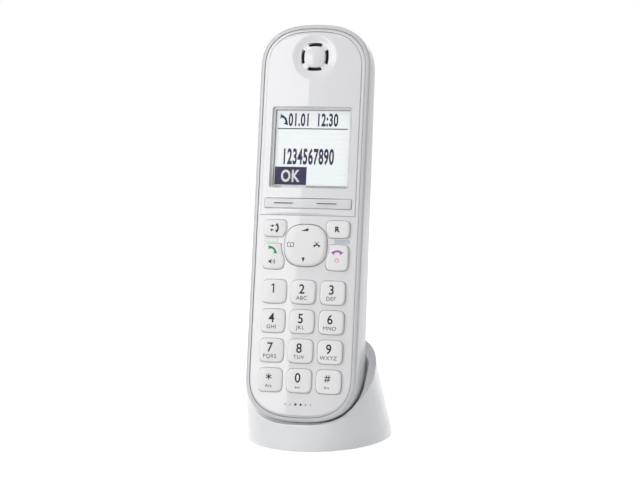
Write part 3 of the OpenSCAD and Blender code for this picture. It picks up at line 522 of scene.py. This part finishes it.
def screen_glass(name):
    """The display's pale ground, softly lit, with a faint grid of dots."""
    paint = Paint(name)
    dot = 0.4
    dots = add_node(paint.tree, "TexBrick", {
        "Vector": paint.where, "Scale": 1000 / dot, "Brick Width": 1, "Row Height": 1,
        "Mortar Size": 0.05, "Color1": linear(240, 246, 245), "Color2": linear(243, 248, 247),
        "Mortar": linear(231, 238, 238)}, offset=0)
    glow = paint.patches(dots, linear(232, 240, 242), 0.3, 16)
    paint.set(Base_Color=glow, Emission_Color=glow, Emission_Strength=0.22,
              Roughness=paint.spread(paint.noise(4, 4), 0.3, 0.4))
    return paint.material


def ink(name, colour):
    """Printing: the colour a little uneven, as pad printing is."""
    paint = Paint(name)
    paint.set(IOR=1.35)
    uneven = paint.patches(colour, tinted(colour, 0.9, 0.03), 0.25, 0.5, 4)
    return paint.finish(uneven, (0.48, 0.72, 0.5), paint.noise(0.15, 2), 0.05, 0.01)


def shown_white(tree, strength, surface):
    """Adds light to a surface that only the camera, reflections and clear plastic see."""
    rays = tree.nodes.new("ShaderNodeLightPath").outputs
    seen = rays["Is Camera Ray"]
    for name in ("Is Glossy Ray", "Is Transmission Ray"):
        seen = add_node(tree, "Math", {0: seen, 1: rays[name]}, operation="MAXIMUM")
    tree.links.new(add_node(tree, "Math", {0: seen, 1: strength}, operation="MULTIPLY"), surface)


def floor_material():
    """White to the camera, but darker in the object's shade."""
    material = bpy.data.materials.new("floor")
    material.use_nodes = True
    matte = material.node_tree.nodes["Principled BSDF"]
    fill(matte, {"Base Color": (0.8, 0.8, 0.8, 1), "Roughness": 0.9, "Specular IOR Level": 0,
                 "Emission Color": (1, 1, 1, 1)})
    shown_white(material.node_tree, FLOOR_GLOW, matte.inputs["Emission Strength"])
    return material


# ---- the handset's housing ----

def hand_body():
    """The handset as one solid, from the rim round its face to its back."""
    soft_edge = [(1, 0), (0.75, 0), (0.5, 0.06), (0.3, 0.2), (0.13, 0.42), (0.03, 0.7), (0, 1)]
    rim = [level(hand_outline(RIM_W * across), -RIM_EDGE * down) for across, down in soft_edge]
    back = [on_slope(hand_outline(SIDE_DRAFT + BACK_EDGE_IN * across), BACK_EDGE_DEEP * up)
            for across, up in quarter_round(7.5)]
    return solid(rim + back)


def hand_hollow():
    """The room inside the handset's walls."""
    back = [on_slope(hand_outline(WALL + SIDE_DRAFT + (BACK_EDGE_IN - 0.6) * across),
                     BACK_WALL + BACK_EDGE_DEEP * up) for across, up in quarter_round(15)]
    return solid([level(hand_outline(WALL), -FACE_SEAT)] + back)


def along_y(radius, x, y0, y1, z):
    """A round bar from y0 to y1."""
    rod = prism(circle(radius), 0, y1 - y0)
    return moved(rod, Matrix.Translation((x, y1, z)) @ Matrix.Rotation(math.pi / 2, 4, "X"))


def battery_bay(shell):
    """Adds the bay's walls, and cuts the room for two cells and the cover."""
    half = BAY_W / 2 + BAY_WALL
    walls = block(-half, half, BAY_Y0 - BAY_WALL, BAY_Y1 + BAY_WALL, 1, CELL_Z + CELL_R + BAY_WALL)
    combine(shell, "UNION", moved(walls, ON_BACK))
    rooms = [along_y(CELL_R, side * CELL_R * 0.995, BAY_Y0, BAY_Y1, CELL_Z) for side in (-1, 1)]
    rooms.append(block(-BAY_W / 2, BAY_W / 2, BAY_Y0, BAY_Y1, -3, CELL_Z))
    lid = box_outline(LID_W + 2 * LID_GAP, LID_Y0 - LID_GAP, LID_Y1 + LID_GAP, 3)
    rooms.append(prism(lid, -2, LID_T + LID_GAP))
    cut(shell, *[moved(room, ON_BACK) for room in rooms])


def ringer_slots():
    """Five slots across the back over the ringer, the middle one the longest."""
    half, pitch = 0.6, 2.6
    return [moved(prism(box_outline(12 - 2 * abs(i), -half, half, 0.55), -1, BACK_WALL + 2),
                  ON_BACK @ Matrix.Translation((0, RINGER_Y + i * pitch, 0))) for i in range(-2, 3)]


def rear_shell(material):
    """The housing's back and sides, with its wells, openings and slots."""
    shell = cut(hand_body(), hand_hollow(), prism(hand_outline(RIM_W), -FACE_SEAT - 0.01, 2))
    battery_bay(shell)
    wells = [prism(circle(SCREW_WELL, x, SCREW_Y), -DEPTH_LOW, -SCREW_DEEP) for x in (-SCREW_X, SCREW_X)]
    openings = [block(x - CONTACT_HALF_W, x + CONTACT_HALF_W, -1, 1.4, CONTACT_Z - CONTACT_HALF_H,
                      CONTACT_Z + CONTACT_HALF_H) for x in (-CONTACT_X, CONTACT_X)]
    cut(shell, together(ringer_slots() + wells + openings))
    piece(shell, "rear_shell", "handset", material, replaces=["rear_cover"])


def crowned(outline, edge, rise, low, steps=34):
    """Rings of a plate under the crowned face: edge lists insets and heights of its soft border."""
    insets, heights = zip(*edge)
    rings = [level(outline(0), low)]
    for inset in np.linspace(0, 1, 13) ** 1.6 * insets[-1]:
        points = outline(inset)
        border = np.interp(inset, insets, heights)
        rings.append(level(points, soft_min(crown_z(points[:, 0]) + rise, border)))
    for share in np.linspace(1, 0, steps)[1:]:
        points = outline(insets[-1], share)
        rings.append(level(points, crown_z(points[:, 0]) + rise))
    return rings


def face_outline(inset, share=1):
    """The face's outline, made smaller as hand_outline does."""
    return hand_outline(FACE_EDGE + inset, share)


def soft_outline(grow):
    """The soft key bar's outline, moved outwards by grow."""
    return box_outline(SOFT_W + 2 * grow, SOFT_Y - SOFT_H / 2 - grow, SOFT_Y + SOFT_H / 2 + grow, 0.6 + grow)


def window_outline(inset):
    """The display window's outline, moved in by inset."""
    return box_outline(WINDOW_W - 2 * inset, WINDOW_Y0 + inset, WINDOW_Y1 - inset, WINDOW_CORNER - inset / 2)


def web_hole(side):
    """The hole for the bar between two function keys, on one side."""
    x = side * (FUNC_EDGE - WEB_W / 2)
    return block(x - WEB_W / 2, x + WEB_W / 2, WEB_Y - WEB_H / 2, WEB_Y + WEB_H / 2,
                 float(crown_z(x)) - 0.5, CROWN + 0.7)


def face_plate(material):
    """The face, with its holes for keys, window, earpiece and microphone."""
    border = [(0, -0.45), (0.12, -0.1), (0.5, 0.2), (1.3, 2.1)]
    face = solid(crowned(face_outline, border, 0, -FACE_SEAT), pinched=True)
    low, high = -FACE_INSIDE - 1, 3
    cut(face, prism(hand_outline(FACE_IN + FACE_WALL), -FACE_SEAT - 1, -FACE_INSIDE),
        prism(panel_outline(-SEAM / 2), -PANEL_SEAT, high),
        prism(nav_button().outline(SEAM + 0.1), low, high))
    holes = [prism(key.outline(SEAM), low, high) for key in digit_list() + func_list()]
    holes += [web_hole(side) for side in (-1, 1)]
    others = soft_outline(SEAM), circle(EAR_HALF + 1.6, 0, EAR_Y), window_outline(LEDGE)
    holes += [prism(outline, low, high) for outline in others]
    for i in range(6):
        through = i in (2, 3)
        spot = circle(MIC_R if through else BLIND_R, (i - 2.5) * MIC_PITCH, MIC_Y, 20)
        holes.append(prism(spot, low if through else 0.5, high))
    cut(face, together(holes))
    piece(face, "face_plate", "handset", material, replaces=["front_cover"])


def dish_depth(points):
    """How far the panel sinks into the dish around the earpiece."""
    inside = np.clip((DISH_R + 0.2 - np.hypot(points[:, 0], points[:, 1] - EAR_Y)) / 3.2, 0, 1)
    return DISH_DEEP * inside ** 2 * (3 - 2 * inside)


def ear_outline(grow):
    """The earpiece's raised middle, round the origin and moved outwards by grow."""
    return key_outline(2 * EAR_HALF, 2 * EAR_HALF, EAR_POWER, grow)


def sound_slots():
    """The four curved slots around the earpiece's middle."""
    ring = cut(prism(ear_outline(EAR_SLOT), -3, 5), prism(ear_outline(0), -4, 6))
    reach = 10 * math.tan(EAR_ANGLE / 2)
    wedge = np.array([[0.02, 0], [10, -reach], [10, reach]])
    sectors = [moved(prism(wedge, -3.5, 5.5), Matrix.Rotation(quarter * math.pi / 2, 4, "Z"))
               for quarter in range(4)]
    combine(ring, "INTERSECT", together(sectors))
    return moved(ring, Matrix.Translation((0, EAR_Y, 0)))


def display_plate(material):
    """The display panel, with its window, the soft keys' slot and the dish."""
    border = [(0, 0.3), (0.25, 0.85), (0.8, 1.25), (1.5, 2.6)]
    rings = crowned(panel_outline, border, PANEL_RISE, -PANEL_SEAT, 40)
    for ring in rings[1:]:
        ring[:, 2] -= dish_depth(ring)
    openings = [prism(outline, -2, 4) for outline in (window_outline(0), soft_outline(SEAM))]
    plate = cut(solid(rings, pinched=True), together(openings), sound_slots())
    piece(plate, "display_plate", "handset", material, replaces=["display_panel"])


def ear_cushion(material):
    """The raised middle of the earpiece, rounded like a cushion."""
    top, low = CROWN + PANEL_RISE + 0.35, CROWN + PANEL_RISE - DISH_DEEP - 0.1
    rings = [level(ear_outline(-0.01) + [0, EAR_Y], low)]
    for inset in (0, 0.1, 0.3, 0.7, 1.2, 1.8, 2.5, 3.2, 3.8, 4.2):
        points = ear_outline(-inset)
        edge = low + 0.65 - 0.35 * (1 - min(inset, 0.7) / 0.7) ** 2 + inset
        rings.append(level(points + [0, EAR_Y], np.minimum(top - np.sum(points ** 2, 1) / 28, edge)))
    piece(solid(rings), "ear_cushion", "handset", material)


# ---- keys ----

@dataclass
class Key:
    """A key on the face: its middle, its size, and how its cap is shaped."""
    name: str
    x: float
    y: float
    width: float
    height: float
    power: float = KEY_POWER
    hollowed: bool = False
    rise: float = KEY_RISE
    side: float = KEY_SIDE
    shoulder: float = SHOULDER
    lip_top: float = LIP_TOP
    lip: float = LIP
    dome: float = DOME

    def outline(self, grow):
        """The outline, moved outwards by grow and hollowed near the navigation key."""
        points = key_outline(self.width, self.height, self.power, grow) + [self.x, self.y]
        if not self.hollowed:
            return points
        away = points - [0, NAV_Y]
        distance = np.linalg.norm(away, axis=1)[:, None]
        clear = NAV_CLEAR - grow
        return np.where(distance < clear, [0, NAV_Y] + away * clear / distance, points)

    def top(self, x, y):
        """Height of the softly domed top."""
        u, v = (x - self.x) / (self.width / 2), (y - self.y) / (self.height / 2)
        return float(crown_z(self.x)) + self.rise - self.dome * (u * u + v * v) / 2

    def ring(self, grow, drop=0):
        """The outline laid on the top, and then dropped."""
        points = self.outline(grow)
        return level(points, self.top(points[:, 0], points[:, 1]) - drop)


def digit_list():
    """The twelve digit keys, row by row."""
    names = "1 2 3 4 5 6 7 8 9 star 0 hash".split()
    return [Key(name, (i % 3 - 1) * PITCH_X, ROW_Y + (3 - i // 3) * PITCH_Y, KEY_W, KEY_H)
            for i, name in enumerate(names)]


def func_list():
    """The four keys around the navigation key."""
    upper, lower = (FUNC_TOP_W, FUNC_TOP_H, FUNC_TOP_Y), (FUNC_LOW_W, FUNC_LOW_H, FUNC_LOW_Y)
    places = {"redial": (-1, upper), "talk": (-1, lower), "flash": (1, upper), "off": (1, lower)}
    return [Key(name, side * (FUNC_EDGE - width / 2), y, width, height, hollowed=True)
            for name, (side, (width, height, y)) in places.items()]


def nav_button():
    """The navigation key, with a wider lip and shoulder than the others."""
    return Key("nav", 0, NAV_Y, NAV_W, NAV_H, NAV_POWER, rise=NAV_RISE, side=1.2, shoulder=1.4,
               lip_top=LIP_TOP - 0.4, lip=0.35, dome=0.24)


def key_solid(key):
    """A key: its lip, its straight side, a rounded shoulder and a domed top."""
    lip = key.outline(KEY_GAP + key.lip)
    rings = [level(lip, key.lip_top - LIP_T), level(lip, key.lip_top), level(key.outline(0), key.lip_top)]
    for across, down in quarter_round(15):
        rings.append(key.ring(-key.side * across, key.shoulder * down))
    for inset in (0.35, 0.8, 1.4, 2.1, 2.8):
        rings.append(key.ring(-key.side - inset))
    return solid(rings)


def key_caps(material):
    """All keys; the navigation key has a round hollow over its pivot."""
    for key in digit_list() + func_list():
        node = "key_" + key.name
        piece(key_solid(key), "cap_" + key.name, node, material, replaces=[node], smooth=50)
    cap = cut(key_solid(nav_button()), prism(circle(3, 0, NAV_Y), -5, -FACE_INSIDE + 0.6))
    piece(cap, "nav_cap", "nav_key", material, replaces=["nav_key"], smooth=50)


def feel_dot(material):
    """The raised dot that the thumb finds on the middle key."""
    key = digit_list()[4]
    x = key.x + KEY_W / 2 - 1.7
    top = key.top(x, key.y)
    rings = [level(circle(r, x, key.y, 24), top + z)
             for r, z in ((0.42, -0.2), (0.42, 0.04), (0.36, 0.14), (0.22, 0.21), (0.08, 0.23))]
    piece(solid(rings), "feel_dot", "key_5", material)


def soft_top(x, y):
    """Height of the soft key bar, which follows the crown and is the same at every y."""
    return crown_z(x) + PANEL_RISE + SOFT_RISE


def soft_bar(material):
    """The long two-way key under the display."""
    lip_top = -FACE_INSIDE - 0.9
    lip = soft_outline(0.2)
    rings = [level(lip, lip_top - 0.5), level(lip, lip_top), level(soft_outline(0), lip_top)]
    for inset, drop in ((0, 0.5), (0.05, 0.28), (0.15, 0.12), (0.32, 0.02), (0.5, 0)):
        points = soft_outline(-inset)
        rings.append(level(points, soft_top(points[:, 0], 0) - drop))
    piece(solid(rings), "soft_bar", "soft_keys", material, replaces=["soft_key_bar"],
          smooth=50)


# ---- printing ----

def lettering(words, tall, x, y, squeeze=1.0, bold=0.0):
    """Words as a thin solid: capitals so tall, centred on x and y."""
    curve = bpy.data.curves.new("words", "FONT")
    curve.body, curve.size, curve.extrude, curve.offset = words, tall / 0.7, INK / 2, bold
    curve.resolution_u = 6
    curve.space_character = 1.1
    text = linked("words", curve)
    obj = in_scene(final_mesh(text))
    bpy.data.objects.remove(text)
    reach = [v.co.x for v in obj.data.vertices]
    middle = (min(reach) + max(reach)) / 2
    return moved(obj, Matrix.Translation((x, y - tall / 2, 0)) @ Matrix.Diagonal((squeeze, 1, 1, 1))
                 @ Matrix.Translation((-middle, 0, 0)))


def shape(points):
    """A printed patch with this outline."""
    return prism(np.array(points, float), -INK / 2, INK / 2)


def bar(x0, x1, y0, y1):
    """A printed rectangle."""
    return shape([[x0, y0], [x1, y0], [x1, y1], [x0, y1]])


def stroke(points, width):
    """A printed line through points, with one width or one for each."""
    points = np.array(points, float)
    along = np.gradient(points, axis=0)
    along /= np.linalg.norm(along, axis=1)[:, None]
    aside = np.column_stack([-along[:, 1], along[:, 0]]) * np.broadcast_to(width, len(points))[:, None] / 2
    return shape(np.concatenate([points + aside, (points - aside)[::-1]]))


def strokes(lines, x, y, width):
    """A sign's printed lines, with its middle at x and y."""
    return [stroke(np.array(line) + [x, y], width) for line in lines]


def arc(x, y, radius, start, end, steps=16):
    """Points of an arc between two angles in degrees."""
    t = np.radians(np.linspace(start, end, steps))
    return np.column_stack([x + radius * np.cos(t), y + radius * np.sin(t)])


def receiver_sign(x, y, size, turn):
    """A telephone receiver: a bow with two thick ends."""
    points = arc(0, -0.28 * size, 0.55 * size, 32, 148)
    widths = size * (0.2 + 0.24 * np.abs(np.linspace(-1, 1, len(points))) ** 4)
    c, s = math.cos(math.radians(turn)), math.sin(math.radians(turn))
    return stroke(points @ np.array([[c, s], [-s, c]]) + [x, y], widths)


def arrow(x, y, way, length=1.6):
    """A small arrow that points along x."""
    tip, head = x + way * length / 2, way * 0.8
    return [stroke([[x - way * length / 2, y], [tip - head, y]], 0.36),
            shape([[tip, y], [tip - head, y + 0.6], [tip - head, y - 0.6]])]


def speaker_sign(x, y, size=1.35):
    """A loudspeaker with two waves."""
    horn = [[-0.95, -0.3], [-0.55, -0.3], [-0.1, -0.75], [-0.1, 0.75], [-0.55, 0.3], [-0.95, 0.3]]
    waves = [stroke(arc(x, y, r * size, -48, 48), 0.26) for r in (0.45, 0.95)]
    return [shape(np.array(horn) * size + [x, y])] + waves


def book_sign(x, y, half=1.3, tall=0.75):
    """An open book, seen from the front."""
    lines = [line for z in (tall, -tall) for line in (([-half, z], [-0.15, z]), ([0.15, z], [half, z]))]
    lines += [([z, -tall], [z, tall]) for z in (-half, half)] + [([0, -tall - 0.15], [0, tall - 0.15])]
    return strokes(lines, x, y, 0.2)


def star_sign(x, y, reach=1.25):
    """Three crossed strokes."""
    tips = [np.array([reach * math.cos(t), reach * math.sin(t)]) for t in np.radians([90, 30, 150])]
    return strokes([(-tip, tip) for tip in tips], x, y, 0.36)


def one_sign(x, y):
    """The figure 1: an upright and a short flag."""
    return (strokes([([0.25, -1.85], [0.25, 1.85])], x, y, 0.5)
            + strokes([([0.2, 1.65], [-0.75, 1.05])], x, y, 0.42))


def hash_sign(x, y):
    """Two slanting strokes across two level ones."""
    lines = [([-0.75, -1.4], [-0.25, 1.4]), ([0.25, -1.4], [0.75, 1.4]), ([-1.2, 0.5], [1.3, 0.5]),
             ([-1.3, -0.5], [1.2, -0.5])]
    return strokes(lines, x, y, 0.34)


def key_sign(x, y):
    """A little key, for locking the keypad."""
    ring = stroke(arc(x - 0.75, y, 0.34, 0, 330), 0.18)
    return [ring] + strokes([([-0.4, 0], [0.9, 0]), ([0.6, 0], [0.6, -0.45])], x, y, 0.2)


def space_sign(x, y):
    """A flat bracket, open at the top."""
    lines = [([-0.8, 0], [-0.8, -0.45]), ([-0.9, -0.45], [0.9, -0.45]), ([0.8, 0], [0.8, -0.45])]
    return strokes(lines, x, y, 0.28)


def print_on(top, name, body, material, parts):
    """Lays printed parts on a surface whose height is top(x, y)."""
    obj = together(parts)
    for vertex in obj.data.vertices:
        vertex.co.z += float(top(vertex.co.x, vertex.co.y)) + INK / 2
    piece(obj, name, body, material, smooth=20)


def print_key(key, kind, material, parts):
    """Lays printed parts on a key."""
    print_on(key.top, kind + "_" + key.name, "key_" + key.name, material, parts)


def big_print(name, x, y):
    """A key's digit or its own sign."""
    signs = {"star": star_sign, "hash": hash_sign, "1": one_sign}
    if name in signs:
        return signs[name](x, y)
    return [lettering(name, DIGIT_TALL, x, y, 0.92, 0.07)]


def small_print(name, x, y):
    """What stands under a key's digit: letters, a small sign or nothing."""
    letters = dict(zip("23456789", "ABC DEF GHI JKL MNO PQRS TUV WXYZ".split()))
    signs = {"0": space_sign, "hash": key_sign}
    if name in letters:
        return [lettering(letters[name], LETTER_TALL, x, y)]
    if name in signs:
        return signs[name](x, y)
    return [lettering("A/a", 1.3, x, y)] if name == "star" else []


def digit_prints(dark, grey):
    """The digit keys' large and small signs."""
    for key in digit_list():
        x = key.x + PRINT_X
        print_key(key, "print", dark, big_print(key.name, x, key.y + 1.2))
        small = small_print(key.name, x, key.y - 2.35)
        if small:
            print_key(key, "small", grey, small)


def func_prints(dark, grey, green, purple, pink):
    """The signs on the four keys around the navigation key."""
    redial, talk, flash, off = func_list()
    x, y = redial.x + PRINT_X, redial.y
    signs = arrow(x - 0.7, y + 0.85, 1) + arrow(x - 0.7, y - 0.85, -1)
    signs.append(receiver_sign(x + 0.9, y, 3.2, -90))
    print_key(redial, "print", dark, signs)
    print_key(flash, "print", dark, [lettering("R", 2.1, flash.x, flash.y, 1, 0.13)])
    x, y = talk.x - 0.6, talk.y
    print_key(talk, "print", green, [receiver_sign(x, y + 2.2, 3.9, -38)])
    print_key(talk, "small", grey, speaker_sign(x + 0.2, y - 2.2))
    x, y = off.x + 0.1, off.y
    print_key(off, "print", purple, [receiver_sign(x, y + 1.5, 4, 0)])
    power = [stroke(arc(x, y - 1.1, 0.75, 120, 420, 28), 0.22), stroke([[x, y - 0.95], [x, y - 0.1]], 0.22)]
    print_key(off, "small", pink, power)


def nav_prints(dark):
    """The navigation key's signs: up, down, a book, a crossed receiver."""
    nav = nav_button()
    y = NAV_Y
    up = shape(np.array([[-1.5, -0.45], [1.5, -0.45], [1.5, 0.75]]) + [-0.3, y + 6.1])
    down = shape(np.array([[-0.6, 0.8], [0.6, 0.8], [0.14, -0.85], [-0.14, -0.85]]) + [-0.4, y - 5.7])
    cross = strokes([([-0.9, -0.8], [0.9, 0.8]), ([-0.9, 0.8], [0.9, -0.8])], 4.9, y + 0.7, 0.22)
    crossed = [receiver_sign(4.9, y - 0.5, 2.5, 0)] + cross
    print_on(nav.top, "print_nav", "nav_key", dark, [up, down] + book_sign(-5.9, y + 0.1) + crossed)


def soft_prints(grey):
    """The two dashes on the soft key bar."""
    half = 0.16
    dashes = [bar(x, x + 8, SOFT_Y - half, SOFT_Y + half) for x in (-13.8, 4)]
    print_on(soft_top, "print_soft", "soft_keys", grey, dashes)


# ---- the display ----

def screen(material):
    """The lit ground of the display, set into its module."""
    rings = [level(box_outline(WINDOW_W - 2.6, WINDOW_Y0 + 1.3, WINDOW_Y1 - 1.3, 0.3), z)
             for z in (SCREEN_Z + 0.02, SCREEN_Z + SCREEN_T)]
    piece(solid(rings), "screen", "handset", material)


def screen_rows(dark, pale):
    """What the display shows: the time over a line, a number, a marked choice."""
    low, top = WINDOW_Y0, SCREEN_Z + SCREEN_T
    head = [receiver_sign(-12.6, low + 27.6, 4.4, -55), bar(-14.6, 14.4, low + 24.1, low + 24.5),
            lettering("01.01  12:30", 4.9, 0, low + 28, 0.53, 0.22)]
    number = lettering("1234567890", 6, -1.2, low + 13.1, 0.46, 0.28)
    mark = bar(-15, -1.8, low + 1.5, low + 8.8)
    print_on(lambda x, y: top, "screen_dark", "handset", dark, head + [number, mark])
    choice = lettering("OK", 4.6, -8.4, low + 5.2, 0.75, 0.2)
    print_on(lambda x, y: top + INK, "screen_pale", "handset", pale, [choice])


# ---- the cradle ----

def cradle_outline(z, inset=0, steps=168):
    """The cradle's outline at height z, between the one at the table and the upper one."""
    share = z / TOP_Z

    def mix(low, high):
        return low + (high - low) * share

    half = mix(CRADLE_W, TOP_W) / 2 - inset
    front, back = -mix(CRADLE_D / 2, TOP_FRONT), mix(CRADLE_D / 2, TOP_BACK)
    middle = front + mix(WIDEST_Y, TOP_WIDEST_Y)
    t = np.linspace(0, math.pi, steps // 2, endpoint=False)
    rear = lobe(half, back - middle - inset, mix(BACK_POWER, TOP_BACK_POWER), t)
    fore = lobe(half, middle - front - inset, mix(FRONT_POWER, TOP_FRONT_POWER), t + math.pi)
    return np.concatenate([rear, fore]) + [0, middle]


def cradle_walls(inset, z0, z1, steps=12):
    """Rings of the cradle's outline from z0 to z1, moved in by inset."""
    return [level(cradle_outline(z, inset), z) for z in np.linspace(z0, z1, steps)]


def below_rim(drop):
    """All that lies under the cradle's slanting rim, lowered by drop."""
    at = Matrix.Translation((0, -CRADLE_D / 2, RIM_FRONT_Z - drop)) @ Matrix.Rotation(RIM_ANGLE, 4, "X")
    return moved(block(-50, 50, -50, 170, -120, 0), at)


def behind_hand(start):
    """All above the cradle's floor that lies behind y = start."""
    return block(-40, 40, start, 50, 5, 60)


def well_outline(inset, side, low):
    """The handset's outline, wider at the sides and lower at its lower end."""
    points = hand_outline(inset).copy()
    points[:, 0] *= 1 + 2 * side / HAND_W
    points[:, 1] -= np.where(points[:, 1] < HAND_LEN / 2, low, 0)
    return points


def well(side, low, deep):
    """The room that the handset stands in."""
    rings = [level(well_outline(0, side, low), z) for z in (12, -RIM_EDGE)]
    for across, up in quarter_round(11.25):
        rings.append(level(well_outline(SIDE_DRAFT + BACK_EDGE_IN * across, side, low),
                           -(DEPTH_LOW + deep - BACK_EDGE_DEEP * up)))
    return moved(solid(rings), IN_HAND)


def well_front():
    """The gap under the handset's lower edge."""
    return moved(prism(well_outline(0, DOCK_GAP, LIP_GAP), -5, 12), IN_HAND)


def cup():
    """The open space behind the handset."""
    space = combine(solid(cradle_walls(CUP_WALL, 2, TOP_Z)), "INTERSECT", behind_hand(CUP_Y))
    return cut(space, below_rim(CUP_DEEP))


def under_tub():
    """The hollow under the cradle's skin, around the handset's tub."""
    space = combine(solid(cradle_walls(CRADLE_WALL, -1, TOP_Z)), "INTERSECT", below_rim(3))
    posts = together([prism(circle(POST_R, x, y), BASE_TOP, 30) for x, y in BASE_SCREWS])
    return cut(space, well(DOCK_GAP + TUB_WALL, STAND_GAP + TUB_T, DOCK_GAP + TUB_WALL),
               cut(behind_hand(CUP_Y - 0.5), below_rim(CUP_DEEP + TUB_WALL)),
               block(-8, 8, NICHE_Y - 2, 50, BASE_TOP, JACK_Z + 7), posts)


def cradle_shell(material):
    """The cradle's cover, with its tub, its cup and the socket's niche."""
    foot = [(FOOT_EDGE * 0.6, 0), (FOOT_EDGE * 0.33, 0.12), (FOOT_EDGE * 0.13, 0.36), (0, FOOT_EDGE)]
    rings = [level(cradle_outline(SKIRT_Z + up, e), SKIRT_Z + up) for e, up in foot]
    rings += cradle_walls(0, SKIRT_Z + FOOT_EDGE, TOP_Z, 14)[1:]
    shell = combine(solid(rings), "INTERSECT", below_rim(0))
    cut(shell, under_tub(), well(DOCK_GAP, STAND_GAP, DOCK_GAP), well_front(), cup(),
        block(-6, 6, NICHE_Y, 50, BASE_TOP + 0.6, JACK_Z + 5))
    springs = [moved(along_y(SPRING_HOLE, x, -10, 2, CONTACT_Z), IN_HAND) for x in (-CONTACT_X, CONTACT_X)]
    cut(shell, together([along_y(JACK_HOLE, 0, NICHE_Y - 5, NICHE_Y + 3, JACK_Z)] + springs))
    soften(shell, 0.35, 50)
    piece(shell, "cradle_shell", "cradle", material, Matrix(), replaces=["cradle_cover"])


# ---- pieces that keep the part's own shape ----

def dress_nodes(shell, cradle):
    """Gives every solid that is shown as it is its material."""
    looks = {
        shell: ["battery_cover"],
        cradle: ["cradle_base"],
        clear_window("clear_window"): ["display_lens"],
        plastic("display_frame", linear(206, 210, 210), 0.4): ["lcd_module"],
        rubber("foam", linear(40, 40, 42)): ["lcd_gasket", "receiver", "receiver_gasket", "microphone"],
        circuit_board("circuit_board"): ["main_board", "charge_board"],
        rubber("mat_rubber", linear(214, 214, 210)): ["key_mat"],
        rubber("foot_rubber", linear(86, 87, 90)): ["cradle_feet"],
        cell_sleeve("cell_sleeve"): ["battery_cells"],
        metal("nickel", linear(196, 194, 188), 0.28):
            ["battery_contacts", "hand_screws", "cradle_screws", "dc_jack_pin"],
        metal("gilt", linear(214, 182, 118), 0.3):
            ["antenna", "hand_contacts", "spring_contact_left", "spring_contact_right", "ringer"],
        plastic("black_plastic", linear(38, 38, 40), 0.45): ["contact_block", "dc_jack"],
        plastic("natural_nylon", linear(222, 220, 210), 0.4): ["nav_pivot"],
        web_plastic("web_plastic"): ["key_webs"],
    }
    for material, names in looks.items():
        for name in names:
            dress(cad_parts[name].data, material)


# ---- floor, light ----

def add_stage():
    """The plain floor that the cradle stands on."""
    bpy.ops.mesh.primitive_plane_add(size=8, location=(0, 0, 0))
    floor = bpy.context.object
    floor.name = "floor"
    dress(floor.data, floor_material())


def softbox(name, around, up, away, size, radiance):
    """A soft lamp of this size, aimed at the handset."""
    data = bpy.data.lights.new(name, "AREA")
    data.shape, data.size, data.size_y = "RECTANGLE", *size
    data.energy = radiance * math.pi * size[0] * size[1]
    aimed(name, data, Vector((0, -0.03, 0.09)), around, up, away)


def add_lights():
    """Broad soft lamps all round, and a small one that the keys reflect."""
    softbox("left", -35.2, 16, 1.0, (0.62, 0.54), 3.45)
    softbox("high_left", -52, 46, 1.0, (0.13, 0.13), 24)
    softbox("right", 58, 12, 1.1, (0.3, 0.9), 2.2)
    softbox("top", 0, 78, 1.0, (0.6, 0.4), 2.2)
    softbox("back", 165, 30, 1.1, (0.7, 0.7), 2.2)


def add_world():
    """A white room: white to the camera and in reflections, softer as a light."""
    world = bpy.data.worlds.new("world")
    bpy.context.scene.world = world
    world.use_nodes = True
    tree, white = world.node_tree, (1, 1, 1, 1)
    room = tree.nodes["Background"]
    fill(room, {"Color": white, "Strength": ROOM_LIGHT})
    shown = add_node(tree, "Background", {"Color": white})
    shown_white(tree, 1 - ROOM_LIGHT, shown.node.inputs["Strength"])
    fill(tree.nodes["World Output"], {
        "Surface": add_node(tree, "AddShader", {0: room.outputs["Background"], 1: shown})})


def add_handset(shell):
    """The handset's housing, keys, printing and display."""
    white = plastic("pearl_white", linear(234, 234, 236), 0.45, coat=0.9)
    key_white = plastic("key_white", linear(243, 243, 243), 0.35, coat=0.3)
    soft_grey = plastic("soft_grey", linear(228, 229, 231), 0.35, coat=0.3)
    dark, grey = ink("dark_ink", linear(34, 34, 38)), ink("grey_ink", linear(56, 56, 62))
    rear_shell(shell)
    face_plate(white)
    display_plate(white)
    ear_cushion(white)
    key_caps(key_white)
    feel_dot(key_white)
    soft_bar(soft_grey)
    digit_prints(dark, grey)
    func_prints(dark, grey, ink("green_ink", linear(30, 150, 105)), ink("purple_ink", linear(176, 96, 176)),
                ink("pink_ink", linear(226, 128, 146)))
    nav_prints(dark)
    soft_prints(grey)
    screen(screen_glass("screen_glass"))
    screen_rows(ink("screen_ink", linear(34, 16, 70)), ink("screen_white", linear(246, 248, 248)))


def main():
    """The whole scene."""
    bpy.context.scene.view_settings.view_transform = "Standard"
    add_camera()
    # The back and sides are the face's white plastic, painted darker as shade for the side walls
    shell = plastic("shell_white", linear(215, 216, 219), 0.35, coat=0.3)
    cradle = plastic("cradle_white", linear(243, 244, 246), 0.22, coat=0.5)
    add_handset(shell)
    cradle_shell(cradle)
    dress_nodes(shell, cradle)
    add_stage()
    add_lights()
    add_world()


main()
